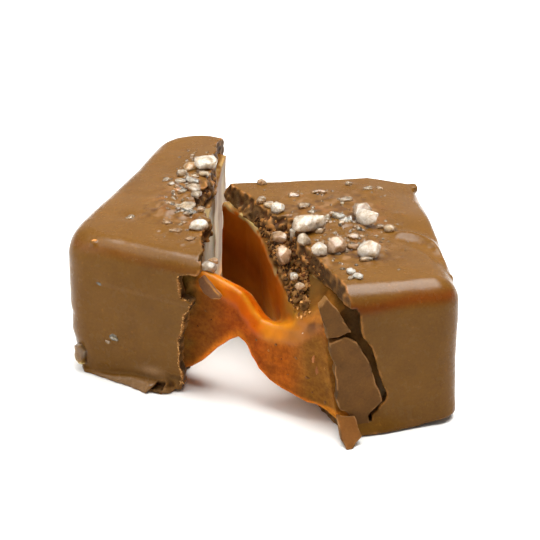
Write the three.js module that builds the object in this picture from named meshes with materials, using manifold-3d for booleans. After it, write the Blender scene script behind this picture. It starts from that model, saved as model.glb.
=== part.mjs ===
// A chocolate-coated salted caramel, broken across the middle and pulled apart.
// Two halves of one square sweet stand on their flat undersides. Each is a thin
// chocolate shell over a caramel core, and the two cores are still joined by a
// stretched web of caramel along the front. Chips of the front wall cling to it.
//
// Units are millimetres, +Z up. The origin is on the underside, at the middle of
// the bounding box. +X runs from the smaller half to the larger one, and -Y is the
// front, where the caramel web is.
import * as THREE from 'three';
import { mergeVertices } from 'three/addons/utils/BufferGeometryUtils.js';
import Module from 'manifold-3d';

// ---------------------------------------------------------------- driving sizes
const SIDE = 28.4;          // edge of the whole square sweet, over the chocolate
const HEIGHT = 17.1;        // underside to the top plate at its rim
const DOME = 0.45;          // extra rise of the top plate at its middle
const CORNER_R = 2.9;       // radius of the four upright edges
const TOP_R = 2.1;          // radius round the top plate
const FOOT_R = 0.45;        // small radius round the underside
const TAPER = 0.35;         // how far the sides draw in towards the underside
const BULGE = 0.4;          // how far the left half's sides swell above the foot
const SKEW = 0.062;         // share by which the right half is shallower at its outer side
const SPREAD = 1.0;         // how far the right half's front foot spreads beside its crack
const WALL = 1.35;          // thickness of the side walls
const ROOF = 1.9;           // thickness of the salted top plate
const BASE = 1.3;           // thickness of the chocolate base
const GAP = 0.2;            // clearance between chocolate and caramel solids
const CHIP = 1.25;          // thickness of the loose chips

// Where the two halves stand: the front outer bottom corner of each, and its turn.
const MIDDLE = [-0.947, -18.775];            // middle of the plan box, taken off both
const LEFT = { x: -22.69, y: -22.70, turn: -23.82 };
const RIGHT = { x: 20.72, y: -34.84, turn: 9.98 };

// Break lines. Each pair is [distance from the front, distance from the outer side].
const LEFT_TOP = [[-1, 15.9], [1.1, 15.7], [4.2, 14.8], [6.6, 13.9], [8.5, 13.4], [10.6, 11.3],
  [12.7, 10.3], [17.3, 9.7], [19.5, 8.9], [24.1, 7.4], [29.4, 6.3]];
const RIGHT_TOP = [[-1, 12.4], [0.6, 12.5], [3.1, 12.8], [5.4, 13.4], [7.4, 14.1], [10.7, 15.1],
  [13.9, 15.7], [18.5, 15.6], [18.8, 17.0], [22.5, 18.7], [24.5, 19.6], [29.4, 20.9]];
// Break edges of the two front walls. Each pair is [height, distance from the outer side].
const LEFT_FRONT = [[-1, 13.5], [0.9, 13.9], [3.7, 13.8], [7.3, 14.2], [10.3, 14.7], [11.6, 15.6],
  [12.1, 14.9], [12.3, 13.7], [14.6, 13.5], [15.2, 14.0], [15.5, 15.9], [18.5, 16.2]];
const RIGHT_FRONT = [[-1, 9.8], [1.6, 9.8], [2.7, 9.2], [4.2, 8.1], [5.5, 8.5], [7.1, 9.0],
  [9.0, 9.5], [10.5, 9.9], [12.0, 10.8], [14.9, 11.2], [18.5, 12.4]];
const LEFT_BACK = 6.5;      // distance of the back wall's break from the outer side
const RIGHT_BACK = 20.6;
// Broken faces of the caramel cores, as [distance from the front, distance from the outer side
// at the underside, and at the top].
const LEFT_CORE = [[1, 13.0, 14.1], [4, 12.5, 14.0], [9, 11.8, 12.6], [16, 10.1, 10.5], [22, 8.4, 8.7],
  [27.2, 6.9, 7.3]];
const RIGHT_CORE = [[1, 12.9, 14.6], [3.0, 13.3, 16.6], [5.0, 14.0, 17.4], [8.5, 15.6, 17.8], [13.6, 17.6, 18.3],
  [18.5, 18.2, 18.6], [22.7, 18.9, 19.1], [27.2, 20.2, 20.4]];
// Three points of the ramp on the right core, each [from the outer side, from the front, height].
const RAMP = [[12.6, 1.5, 15.0], [15.9, 10.5, 15.0], [17.2, 3.0, 12.0]];
// A low lip of chocolate pooled along the foot of the left half, seen in plan as
// [distance from the outer side, distance from the front], and its height.
const LIP = [[3.4, 0.9], [4.6, -0.1], [8.0, -0.65], [10.9, -1.15], [11.6, -0.7], [13.5, 0.1], [13.4, 1.0]];
const LIP_HEIGHT = 0.9;

// The stretched web: [distance along it, underside height, crest height, thickness, set back].
const WEB = [[-3.5, 2.0, 14.2, 3.0, 0.1], [-1.0, 2.2, 14.4, 3.2, 0.1], [0.6, 2.6, 14.6, 3.4, 0.1],
  [1.9, 3.7, 14.3, 3.5, 0.1], [3.8, 5.9, 13.8, 3.5, 0.1], [5.5, 7.4, 13.2, 3.4, 0.1], [6.7, 8.1, 12.6, 3.2, 0.1],
  [7.5, 7.6, 11.4, 3.1, 0.1], [8.3, 6.3, 10.3, 3.3, 0.1], [9.2, 4.9, 9.9, 3.6, 0.1], [10.6, 3.8, 9.8, 4.2, 0.1],
  [12.1, 3.2, 10.1, 4.8, 0.1], [13.8, 2.8, 10.8, 5.4, 0.1], [15.4, 2.4, 12.2, 6.0, 0.2], [17.0, 2.1, 13.8, 6.2, 0.9],
  [19.5, 2.0, 14.2, 4.8, 3.0]];
const WEB_FROM = { u: 13.9, v: WALL + GAP };   // on the left core's front face
const WEB_TO = { u: 14.6, v: WALL + GAP };     // on the right core's front face

const CHOCOLATE = new THREE.MeshStandardMaterial({ color: 0x7a5233, roughness: 0.42, metalness: 0 });
const CHIP_CHOCOLATE = new THREE.MeshStandardMaterial({ color: 0x70472c, roughness: 0.5, metalness: 0 });
const CARAMEL = new THREE.MeshStandardMaterial({ color: 0xb0540f, roughness: 0.25, metalness: 0 });

// ---------------------------------------------------------------- small helpers
const wasm = await Module();
wasm.setup();

const rad = (deg) => (deg * Math.PI) / 180;

// Repeatable pseudo-random numbers in 0..1.
function randomFrom(seed) {
  let s = seed >>> 0;
  return () => {
    s = (s + 0x6d2b79f5) >>> 0;
    let t = s;
    t = Math.imul(t ^ (t >>> 15), t | 1);
    t ^= t + Math.imul(t ^ (t >>> 7), t | 61);
    return ((t ^ (t >>> 14)) >>> 0) / 4294967296;
  };
}

// A closed BufferGeometry as a solid, and back again.
function solid(geometry) {
  const g = geometry.clone();
  for (const extra of ['normal', 'uv']) g.deleteAttribute(extra);
  const merged = mergeVertices(g, 1e-4);
  return new wasm.Manifold(new wasm.Mesh({
    numProp: 3,
    vertProperties: new Float32Array(merged.getAttribute('position').array),
    triVerts: new Uint32Array(merged.index.array),
  }));
}

function geometryOf(manifold) {
  const m = manifold.getMesh();
  const points = new Float32Array(m.numVert * 3);
  for (let i = 0; i < m.numVert; i++) {
    points.set(m.vertProperties.subarray(i * m.numProp, i * m.numProp + 3), i * 3);
  }
  const g = new THREE.BufferGeometry();
  g.setAttribute('position', new THREE.BufferAttribute(points, 3));
  g.setIndex(new THREE.BufferAttribute(new Uint32Array(m.triVerts), 1));
  g.computeVertexNormals();
  return g;
}

// Skins a stack of rings, each a list of Vector3 in the same order, and closes both ends.
function loft(rings) {
  const n = rings[0].length;
  const points = rings.flat().flatMap((p) => [p.x, p.y, p.z]);
  const faces = [];
  for (let i = 0; i + 1 < rings.length; i++) {
    for (let k = 0; k < n; k++) {
      const a = i * n + k;
      const b = i * n + ((k + 1) % n);
      faces.push(a, b, b + n, a, b + n, a + n);
    }
  }
  for (const [ring, last] of [[rings[0], false], [rings[rings.length - 1], true]]) {
    const centre = ring.reduce((s, p) => s.add(p), new THREE.Vector3()).divideScalar(n);
    const c = points.length / 3;
    points.push(centre.x, centre.y, centre.z);
    const from = last ? (rings.length - 1) * n : 0;
    for (let k = 0; k < n; k++) {
      const a = from + k;
      const b = from + ((k + 1) % n);
      faces.push(...(last ? [a, b, c] : [b, a, c]));
    }
  }
  const g = new THREE.BufferGeometry();
  g.setAttribute('position', new THREE.Float32BufferAttribute(points, 3));
  g.setIndex(faces);
  return g;
}

// A square outline with round corners, drawn in from the sweet's side by inset.
function roundedSquare(inset, radius, z) {
  const half = SIDE / 2 - inset;
  const r = Math.min(Math.max(radius - inset, 0.35), half);
  const steps = 5;
  const straight = 3;
  const ring = [];
  for (let corner = 0; corner < 4; corner++) {
    const sx = [1, -1, -1, 1][corner];
    const sy = [1, 1, -1, -1][corner];
    for (let k = 0; k <= steps; k++) {
      const a = (corner + k / steps) * (Math.PI / 2);
      ring.push(new THREE.Vector3(sx * (half - r) + r * Math.cos(a), sy * (half - r) + r * Math.sin(a), z));
    }
    const from = ring[ring.length - 1];
    const nx = [-1, -1, 1, 1][corner];
    const ny = [1, -1, -1, 1][corner];
    const to = new THREE.Vector3(
      corner % 2 === 0 ? nx * (half - r) : nx * half,
      corner % 2 === 0 ? ny * half : ny * (half - r), z);
    for (let k = 1; k < straight; k++) ring.push(from.clone().lerp(to, k / straight));
  }
  return ring;
}

// How far the sides are drawn in at a height: a slight taper towards the underside.
const taperAt = (z) => TAPER * Math.pow(Math.max(0, 1 - z / 11), 1.4);

// The whole square sweet before it was broken, centred on the origin, grown smaller by depth
// on the sides, by under at the underside and by over at the top.
function sweet(depth, under, over, corner, edge, bulge) {
  const top = HEIGHT - over;
  const rings = [];
  const bottomR = Math.min(FOOT_R, edge);
  const inwardsAt = (z) => depth + taperAt(z) - bulge * Math.min(1, Math.max(0, z - 0.5) / 4);
  for (let k = 0; k <= 2; k++) {
    const a = (k / 2) * (Math.PI / 2);
    const z = under + bottomR * (1 - Math.cos(a));
    rings.push(roundedSquare(inwardsAt(z) + bottomR * (1 - Math.sin(a)), corner, z));
  }
  for (const z of [4.5, 8]) rings.push(roundedSquare(inwardsAt(z), corner, z));
  for (let k = 0; k <= 5; k++) {
    const a = (k / 5) * (Math.PI / 2);
    rings.push(roundedSquare(inwardsAt(top) + edge * (1 - Math.cos(a)), corner, top - edge + edge * Math.sin(a)));
  }
  // The top rises a little towards its middle.
  for (const inwards of [5, 9]) {
    const share = inwards / (SIDE / 2);
    rings.push(roundedSquare(inwards, corner + 4, top + DOME * Math.sin(share * (Math.PI / 2))));
  }
  return loft(rings);
}

// A break line with small teeth between its turning points.
function jagged(line, pitch, depth, seed) {
  const random = randomFrom(seed);
  const out = [];
  for (let i = 0; i + 1 < line.length; i++) {
    const [s0, t0] = line[i];
    const [s1, t1] = line[i + 1];
    const count = Math.max(1, Math.round(Math.hypot(s1 - s0, t1 - t0) / pitch));
    for (let k = 0; k < count; k++) {
      const share = k / count;
      const off = k === 0 ? 0 : (random() - 0.5) * 2 * depth;
      out.push([s0 + (s1 - s0) * share, t0 + (t1 - t0) * share + off]);
    }
  }
  out.push(line[line.length - 1]);
  return out;
}

// The plan area beyond a break line, as an upright prism from z0 to z1. side is +1 for the
// left half, whose outer side is at x = 0, and -1 for the right half, which is its mirror.
function beyondInPlan(line, side, z0, z1) {
  const shape = new THREE.Shape();
  const far = side * 45;
  shape.moveTo(far, line[0][0]);
  for (const [v, u] of line) shape.lineTo(side * u, v);
  shape.lineTo(far, line[line.length - 1][0]);
  const g = new THREE.ExtrudeGeometry(shape, { depth: z1 - z0, bevelEnabled: false });
  g.translate(0, 0, z0);
  return solid(g);
}

// The area beyond a break edge seen from the front, as a prism from v0 back to v1.
function beyondInFront(line, side, v0, v1) {
  const shape = new THREE.Shape();
  const far = side * 45;
  shape.moveTo(far, line[0][0]);
  for (const [z, u] of line) shape.lineTo(side * u, z);
  shape.lineTo(far, line[line.length - 1][0]);
  const g = new THREE.ExtrudeGeometry(shape, { depth: v1 - v0, bevelEnabled: false });
  g.rotateX(Math.PI / 2);
  g.translate(0, v1, 0);
  return solid(g);
}

// The same in a half's own frame, with its outer front bottom corner at the origin. The right
// half is a little shallower from front to back at its outer side than at the break.
function whole(side, ...sizes) {
  const block = solid(sweet(...sizes, side > 0 ? BULGE : 0)).translate([side * (SIDE / 2), SIDE / 2, 0]);
  if (side > 0) return block;
  return block.warp((p) => {
    p[1] *= 1 - SKEW * Math.min(1, Math.max(0, 1 + p[0] / 20.7));
    const along = Math.min(1, Math.max(0, (-p[0] - 2.5) / 6));
    const low = Math.max(0, 1 - p[2] / 4);
    const near = Math.max(0, 1 - p[1] / 6);
    p[1] -= SPREAD * along * low * low * near;
  });
}

// ---------------------------------------------------------------- chocolate shells
function shell(side, top, front, back, core, seed) {
  const outer = whole(side, 0, 0, 0, CORNER_R, TOP_R);
  const hollow = whole(side, WALL, BASE, ROOF, CORNER_R, 1.0);
  const high = HEIGHT + DOME + 2;
  const roofLine = jagged(top, 1.3, 0.22, seed);
  const wallLine = jagged(front, 1.1, 0.12, seed + 1);
  const baseLine = core.map(([v, u]) => [v < 2 ? WALL + 0.3 : v > 27 ? 29.4 : v, u - 0.15]);
  const farWall = [[-3, 23], [SIDE + 3, 23]];
  const backLine = [[-1, back - 0.3], [5, back + 0.1], [11, back - 0.1], [high, back + 0.2]];
  return outer.subtract(hollow)
    .subtract(beyondInPlan(roofLine, side, HEIGHT - ROOF - 0.02, high))
    .subtract(beyondInFront(wallLine, side, -2, WALL + 1.15))
    .subtract(beyondInFront(backLine, side, SIDE - WALL - 1.2, SIDE + 2))
    .subtract(beyondInPlan(baseLine, side, -1, BASE + 0.4))
    .subtract(beyondInPlan(farWall, side, -1, high));
}

// ---------------------------------------------------------------- caramel
function core(side, line, ramp) {
  const inner = whole(side, WALL + GAP, BASE + GAP, ROOF + GAP, CORNER_R, 0.8);
  // What is broken away is a ruled block, further in at the underside than at the top.
  const first = line[0];
  const last = line[line.length - 1];
  const ends = [[-1, first[1], first[2]], ...line, [29.4, last[1], last[2]]];
  const ring = (z, share) => {
    const edge = ends.map(([v, low, high]) => new THREE.Vector3(side * (low + (high - low) * share), v, z));
    edge.push(new THREE.Vector3(side * 45, 29.4, z), new THREE.Vector3(side * 45, -1, z));
    return side > 0 ? edge.reverse() : edge;
  };
  const away = loft([ring(-1, -0.05), ring(5, 0.55), ring(10, 0.95), ring(HEIGHT + 3, 1.0)]);
  const kept = inner.subtract(solid(away));
  if (!ramp) return kept;
  // Caramel drawn down towards the web leaves a ramp: keep what is under the plane of three points.
  const [a, b, c] = ramp.map(([u, v, z]) => new THREE.Vector3(side * u, v, z));
  const normal = b.clone().sub(a).cross(c.clone().sub(a)).normalize();
  if (normal.z > 0) normal.negate();
  return kept.trimByPlane(normal.toArray(), normal.dot(a));
}

// A point of a half's own frame in the common frame.
function placed(half, side, u, v, z) {
  return new THREE.Vector3(side * u, v, z)
    .applyAxisAngle(new THREE.Vector3(0, 0, 1), rad(half.turn))
    .add(new THREE.Vector3(half.x, half.y, 0));
}

function matrixOf(half) {
  return new THREE.Matrix4().makeRotationZ(rad(half.turn)).setPosition(half.x, half.y, 0);
}

// The web is a run of upright rounded sections along the line between the cores' front faces.
function web() {
  const from = placed(LEFT, 1, WEB_FROM.u, WEB_FROM.v, 0);
  const to = placed(RIGHT, -1, WEB_TO.u, WEB_TO.v, 0);
  const along = to.clone().sub(from).normalize();
  const inwards = new THREE.Vector3(-along.y, along.x, 0);
  const steps = 16;
  const rings = WEB.map(([t, low, high, thick, back]) => {
    const half = (high - low) / 2;
    const ring = [];
    for (let k = 0; k < steps; k++) {
      const a = (2 * Math.PI * k) / steps;
      const c = Math.sign(Math.cos(a)) * Math.pow(Math.abs(Math.cos(a)), 0.55);
      const s = Math.sign(Math.sin(a)) * Math.pow(Math.abs(Math.sin(a)), 0.6);
      ring.push(from.clone()
        .addScaledVector(along, t)
        .addScaledVector(inwards, back + thick / 2 + (thick / 2) * c)
        .setZ(low + half + half * s));
    }
    return ring;
  });
  return solid(loft(rings));
}

function caramel() {
  const left = core(1, LEFT_CORE).transform(matrixOf(LEFT).elements);
  const right = core(-1, RIGHT_CORE, RAMP).transform(matrixOf(RIGHT).elements);
  return left.add(right).add(web());
}

// ---------------------------------------------------------------- chips of the front wall
// Each outline lies in the right half's front wall, as [distance from the outer side, height].
const CHIP_LOWER = [[14.75, 11.9], [14.1, 9.2], [13.8, 4.6], [13.4, 3.5], [12.2, 2.5], [11.6, 1.1],
  [11.1, 0.1], [10.1, 0.1], [10.2, 2.3], [8.8, 3.9], [9.5, 6.6], [10.3, 9.0], [11.7, 11.6], [12.9, 12.2]];
const CHIP_UPPER = [[15.8, 16.3], [14.9, 17.2], [13.9, 15.9], [12.3, 12.9], [13.6, 12.4], [14.9, 12.4], [15.2, 13.9]];
const CHIP_TIP = [[14.0, 0], [13.95, -1.66], [13.93, -3.0], [13.46, -4.2], [13.07, -4.4], [12.46, -3.7],
  [11.66, -2.9], [12.07, -0.84], [12.6, -0.72]];
// A flake of the wall stuck on the web, as [distance along it, height].
const FLAKE = [[1.9, 14.0], [2.7, 14.1], [4.9, 12.1], [4.5, 11.7], [3.1, 11.8], [2.2, 12.9]];

function slab(outline, thick) {
  const shape = new THREE.Shape(outline.map(([a, b]) => new THREE.Vector2(a, b)));
  const bevel = 0.12;
  const g = new THREE.ExtrudeGeometry(shape, {
    depth: thick - 2 * bevel, bevelEnabled: true, bevelThickness: bevel, bevelSize: bevel,
    bevelOffset: -bevel, bevelSegments: 1,
  });
  g.translate(0, 0, bevel - thick / 2);
  g.rotateX(Math.PI / 2);
  return solid(g);
}

// An outline drawn from the right half's outer side, made into a slab and set in its front wall.
const fromRight = (outline) => outline.map(([u, z]) => [-u, z]);

function mesh(name, manifold, material, half) {
  const m = new THREE.Mesh(geometryOf(manifold), material);
  m.name = name;
  if (half) {
    m.position.set(half.x, half.y, 0);
    m.rotation.z = rad(half.turn);
  }
  return m;
}

// ---------------------------------------------------------------- the sweet
const candy = new THREE.Group();
candy.position.set(-MIDDLE[0], -MIDDLE[1], 0);

// The pooled lip is the plan outline of the foot, thinning upwards.
function lip() {
  const ring = (z, share) => LIP.map(([u, v]) => new THREE.Vector3(u, 0.9 + (v - 0.9) * share, z));
  return solid(loft([ring(0, 0.94), ring(0.25, 1), ring(0.55, 0.9), ring(LIP_HEIGHT, 0.25)]));
}

const leftShell = shell(1, LEFT_TOP, LEFT_FRONT, LEFT_BACK, LEFT_CORE, 11).add(lip());
candy.add(mesh('left_shell', leftShell, CHOCOLATE, LEFT));
candy.add(mesh('right_shell', shell(-1, RIGHT_TOP, RIGHT_FRONT, RIGHT_BACK, RIGHT_CORE, 23), CHOCOLATE, RIGHT));
candy.add(mesh('caramel', caramel(), CARAMEL));

const rightHalf = new THREE.Group();
rightHalf.position.set(RIGHT.x, RIGHT.y, 0);
rightHalf.rotation.z = rad(RIGHT.turn);
candy.add(rightHalf);

// A chip turns about an upright line through x and leans forward about a level one at z. Its
// outer face there is set out from the wall, and it never reaches under the floor.
function chip(name, outline, thick, { x, z, swing = 0, lean = 0, out = 0 }) {
  const place = new THREE.Matrix4().makeRotationFromEuler(new THREE.Euler(rad(-lean), 0, rad(swing), 'ZXY'));
  const body = slab(outline, thick)
    .translate([0, thick / 2, 0])
    .translate([-x, 0, 0])
    .transform(place.elements)
    .translate([x, -out, z])
    .trimByPlane([0, 0, 1], 0);
  const m = new THREE.Mesh(geometryOf(body), CHIP_CHOCOLATE);
  m.name = name;
  return m;
}

rightHalf.add(chip('chip_lower', fromRight(CHIP_LOWER), CHIP, { x: -9.6, z: 0, swing: 4.5, out: 0.12 }));
rightHalf.add(chip('chip_upper', fromRight(CHIP_UPPER), CHIP, { x: -12.6, z: 0, swing: 5.0, out: 0.3 }));
rightHalf.add(chip('chip_tip', fromRight(CHIP_TIP), 0.8, { x: -13.2, z: 3.35, swing: 4.5, lean: 40, out: 0.55 }));

const webFrom = placed(LEFT, 1, WEB_FROM.u, WEB_FROM.v, 0);
const webTo = placed(RIGHT, -1, WEB_TO.u, WEB_TO.v, 0);
const flake = new THREE.Mesh(geometryOf(slab(FLAKE, 0.5)), CHIP_CHOCOLATE);
flake.name = 'flake';
flake.rotation.z = Math.atan2(webTo.y - webFrom.y, webTo.x - webFrom.x);
flake.position.copy(webFrom);
flake.translateY(-0.45);
candy.add(flake);

export default candy;
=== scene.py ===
"""Looks of a broken salted caramel sweet: two chocolate-coated halves pulled apart on a
stretched web of caramel.

Every piece is a mesh made here from signed distance fields. A field is worked out on a grid
in millimetres, in the same frame as the CAD part, and its zero surface becomes the mesh.
Left-half and right-half coordinates are u (from the half's outer side towards the break),
v (from its front towards its back) and z (up from the table).
"""
import math

import bpy
import numpy as np
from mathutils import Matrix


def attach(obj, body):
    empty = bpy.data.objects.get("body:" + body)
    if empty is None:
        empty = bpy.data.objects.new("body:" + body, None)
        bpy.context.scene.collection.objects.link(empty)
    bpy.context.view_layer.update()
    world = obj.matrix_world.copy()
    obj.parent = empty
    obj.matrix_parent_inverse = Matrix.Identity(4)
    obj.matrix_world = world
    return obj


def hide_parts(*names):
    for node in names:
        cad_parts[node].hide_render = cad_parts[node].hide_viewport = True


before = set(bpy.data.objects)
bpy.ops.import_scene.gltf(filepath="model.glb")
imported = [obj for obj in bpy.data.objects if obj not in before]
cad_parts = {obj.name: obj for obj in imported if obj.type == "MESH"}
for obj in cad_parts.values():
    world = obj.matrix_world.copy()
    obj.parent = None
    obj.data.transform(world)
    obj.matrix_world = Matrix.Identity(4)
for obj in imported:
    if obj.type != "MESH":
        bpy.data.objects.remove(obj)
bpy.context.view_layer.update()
COARSE = 1.0

# ------------------------------------------------------------------ sizes, as in the CAD part
SIDE, HEIGHT, DOME = 28.4, 17.1, 0.45
CORNER_R, TOP_R, FOOT_R = 2.9, 2.2, 0.45
TAPER, BULGE, SKEW, SPREAD = 0.35, 0.4, 0.062, 1.0
WALL, ROOF, BASE, CHIP = 1.35, 1.9, 1.3, 1.25
LEFT = dict(x=-22.69 + 0.947, y=-22.70 + 18.775, turn=math.radians(-23.82), side=1)
RIGHT = dict(x=20.72 + 0.947, y=-34.84 + 18.775, turn=math.radians(9.98), side=-1)

LEFT_TOP = [[-3, 16.2], [-1, 16.1], [1.1, 16.0], [3.0, 15.4], [4.2, 14.8], [6.6, 13.9], [8.5, 13.5],
            [10.2, 12.6], [10.7, 11.2], [11.4, 10.6], [12.7, 10.3], [15.1, 10.1], [17.3, 9.7], [19.5, 8.9],
            [21.4, 8.4], [24.1, 7.4], [26.5, 6.5], [32, 5.2]]
RIGHT_TOP = [[-3, 11.4], [-1, 11.7], [0.6, 12.2], [3.1, 12.8], [5.4, 13.4], [7.4, 14.1], [9.5, 14.9],
             [10.7, 15.2], [11.9, 15.7], [13.9, 15.7], [16.8, 15.6], [18.3, 15.6], [18.7, 16.6], [19.1, 17.6],
             [20.8, 18.0], [22.6, 18.6], [24.5, 19.2], [26.8, 20.1], [32, 21.9]]
LEFT_FRONT = [[-3, 13.3], [0.4, 13.6], [1.2, 14.0], [2.7, 14.1], [3.7, 13.8], [5.4, 14.0], [7.3, 14.2],
              [8.8, 14.4], [10.3, 14.7], [11.2, 15.5], [12.0, 15.6], [12.2, 15.1], [12.35, 14.3], [13.8, 14.1],
              [14.9, 14.05], [15.2, 14.4], [15.5, 16.4], [22, 16.4]]
RIGHT_FRONT = [[-3, 9.8], [0.9, 9.6], [1.6, 9.8], [2.2, 9.8], [2.7, 9.2], [3.7, 8.3], [4.3, 8.1], [5.5, 8.5],
               [7.1, 9.0], [9.0, 9.5], [10.5, 9.9], [11.5, 10.4], [12.0, 10.8], [13.3, 11.1], [14.9, 11.4],
               [16.0, 11.9], [17.0, 12.3], [22, 12.9]]
LEFT_BACK = [[-3, 6.0], [4, 6.2], [8, 6.1], [12, 6.3], [16, 6.3], [22, 6.5]]
RIGHT_BACK = [[-3, 20.3], [4, 20.5], [8, 20.4], [13, 20.6], [16, 20.6], [22, 20.9]]
LEFT_CORE = [[-3, 13.0, 14.3], [1, 13.0, 14.3], [4, 12.5, 14.25], [9, 11.8, 12.9], [16, 10.1, 10.6],
             [22, 8.4, 8.7], [27.2, 6.9, 7.3], [32, 5.5, 6.0]]
RIGHT_CORE = [[-3, 12.9, 13.6], [1, 12.9, 14.6], [3.0, 13.3, 16.6], [5.0, 14.0, 17.4], [8.5, 15.6, 17.9],
[13.6, 17.6, 18.5], [18.5, 18.3, 18.9], [22.7, 19.5, 19.7], [27.2, 21.7, 21.8], [32, 23.6, 23.7]]
RAMP = [[12.6, 1.5, 15.0], [15.9, 10.5, 15.0], [17.2, 3.0, 12.0]]
LIP = [[1.2, 1.0], [2.0, -0.15], [4.6, -0.6], [8.0, -1.15], [10.7, -1.75], [11.7, -1.45], [12.8, -1.1], [13.1, -0.4], [13.0, 1.0]]
LIP_HEIGHT = 0.9
WEB = [[-3.5, 2.0, 14.2, 3.0, 0.1], [-1.0, 2.2, 14.4, 3.2, 0.1], [0.6, 2.6, 14.7, 3.4, 0.1],
       [1.9, 3.7, 14.75, 3.5, 0.1], [3.8, 5.9, 14.3, 3.5, 0.1], [5.5, 7.5, 13.9, 3.4, 0.1], [6.7, 8.2, 13.4, 3.2, 0.1],
       [7.5, 7.7, 12.5, 3.1, 0.1], [8.3, 6.4, 11.45, 3.3, 0.1], [9.2, 4.9, 10.7, 3.6, 0.1], [10.6, 3.8, 10.5, 4.2, 0.1],
       [12.1, 3.2, 10.7, 4.8, 0.1], [13.8, 2.8, 11.1, 5.4, 0.1], [15.4, 2.4, 12.1, 6.0, 0.2], [17.0, 2.1, 13.6, 6.2, 0.9],
       [19.5, 2.0, 14.2, 4.8, 3.0]]
CHIP_LOWER = [[14.75, 11.9], [14.1, 9.2], [13.8, 4.6], [13.4, 3.5], [12.2, 2.5], [11.6, 1.1], [11.1, 0.1],
              [10.1, 0.1], [10.2, 2.3], [8.8, 3.9], [9.5, 6.6], [10.3, 9.0], [11.7, 11.6], [12.9, 12.2]]
CHIP_UPPER = [[15.8, 16.3], [14.9, 17.2], [13.9, 15.9], [12.3, 12.9], [13.6, 12.4], [14.9, 12.4], [15.2, 13.9]]
CHIP_TIP = [[14.0, 0], [13.95, -1.66], [13.93, -3.0], [13.46, -4.2], [13.07, -4.4], [12.46, -3.7],
            [11.66, -2.9], [12.07, -0.84], [12.6, -0.72]]
FLAKE = [[1.75, 14.2], [2.4, 14.75], [3.7, 14.0], [5.0, 13.05], [4.75, 12.65], [3.7, 12.5], [2.8, 12.85], [2.1, 13.5]]


# ------------------------------------------------------------------ frames
def to_world(half, p):
    """Half coordinates (u, v, z) to part coordinates, in millimetres."""
    c, s = math.cos(half["turn"]), math.sin(half["turn"])
    x = half["side"] * p[:, 0]
    return np.stack([half["x"] + x * c - p[:, 1] * s, half["y"] + x * s + p[:, 1] * c, p[:, 2]], 1)


def to_half(half, x, y):
    """Part coordinates to u, v of a half."""
    c, s = math.cos(half["turn"]), math.sin(half["turn"])
    dx, dy = x - half["x"], y - half["y"]
    return half["side"] * (dx * c + dy * s), -dx * s + dy * c


def _point(half, u, v):
    return to_world(half, np.array([[u, v, 0.0]]))[0, :2]


WEB_FROM = _point(LEFT, 13.9, 1.55)
WEB_TO = _point(RIGHT, 14.6, 1.55)
WEB_DIR = (WEB_TO - WEB_FROM) / np.linalg.norm(WEB_TO - WEB_FROM)
WEB_IN = np.array([-WEB_DIR[1], WEB_DIR[0]])


def to_web(x, y):
    """Part coordinates to t (along the web) and s (towards the back)."""
    dx, dy = x - WEB_FROM[0], y - WEB_FROM[1]
    return dx * WEB_DIR[0] + dy * WEB_DIR[1], dx * WEB_IN[0] + dy * WEB_IN[1]


def from_web(t, s, z):
    return np.array([WEB_FROM[0] + t * WEB_DIR[0] + s * WEB_IN[0],
                     WEB_FROM[1] + t * WEB_DIR[1] + s * WEB_IN[1], z])


# ------------------------------------------------------------------ field helpers
class Grid:
    def __init__(self, lo, hi, h):
        self.h = h
        self.lo = np.array(lo, float)
        self.axes = [np.arange(a, b + h, h) for a, b in zip(lo, hi)]
        self.shape = tuple(len(a) for a in self.axes)
        self.X = self.axes[0].astype(np.float32)[:, None, None]
        self.Y = self.axes[1].astype(np.float32)[None, :, None]
        self.Z = self.axes[2].astype(np.float32)[None, None, :]


def _basis(coords, length):
    c = (coords - coords[0]) / length + 1.0
    i = np.floor(c).astype(int)
    f = c - i
    m = np.zeros((len(coords), i.max() + 3), np.float32)
    rows = np.arange(len(coords))
    for k, w in enumerate([(1 - f) ** 3 / 6, (3 * f ** 3 - 6 * f ** 2 + 4) / 6,
                           (-3 * f ** 3 + 3 * f ** 2 + 3 * f + 1) / 6, f ** 3 / 6]):
        m[rows, i - 1 + k] += w
    return m


def noise(grid, length, seed):
    """Smooth noise of unit spread over a grid. length is one feature size or one for each axis."""
    size = (length,) * 3 if np.isscalar(length) else length
    bx, by, bz = (_basis(a, s) for a, s in zip(grid.axes, size))
    lattice = np.random.default_rng(seed).standard_normal((bx.shape[1], by.shape[1], bz.shape[1])).astype(np.float32)
    out = np.tensordot(bx, lattice, (1, 0))
    out = np.einsum("jb,ibc->ijc", by, out, optimize=True)
    return (out @ bz.T) / 0.33


def noise2(a, b, length, seed):
    """Smooth noise over a plane: an array of len(a) x len(b)."""
    ba, bb = _basis(a, length), _basis(b, length)
    lattice = np.random.default_rng(seed).standard_normal((ba.shape[1], bb.shape[1])).astype(np.float32)
    return (ba @ lattice @ bb.T) / 0.48


def smin(a, b, k):
    h = np.maximum(k - np.abs(a - b), 0.0) / k
    return np.minimum(a, b) - h * h * k * 0.25


def smax(a, b, k):
    return -smin(-a, -b, k)


def round_and(a, b, r):
    """Intersection of two fields with a rounded edge of radius r."""
    pa, pb = np.maximum(a + r, 0), np.maximum(b + r, 0)
    return np.minimum(np.maximum(a + r, b + r), 0) + np.sqrt(pa * pa + pb * pb) - r


def step(x, a, b):
    t = np.clip((x - a) / (b - a), 0, 1)
    return t * t * (3 - 2 * t)


def interp(x, pairs, column=1):
    pts = np.array(pairs, float)
    return np.interp(x, pts[:, 0], pts[:, column]).astype(np.float32)


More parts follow.
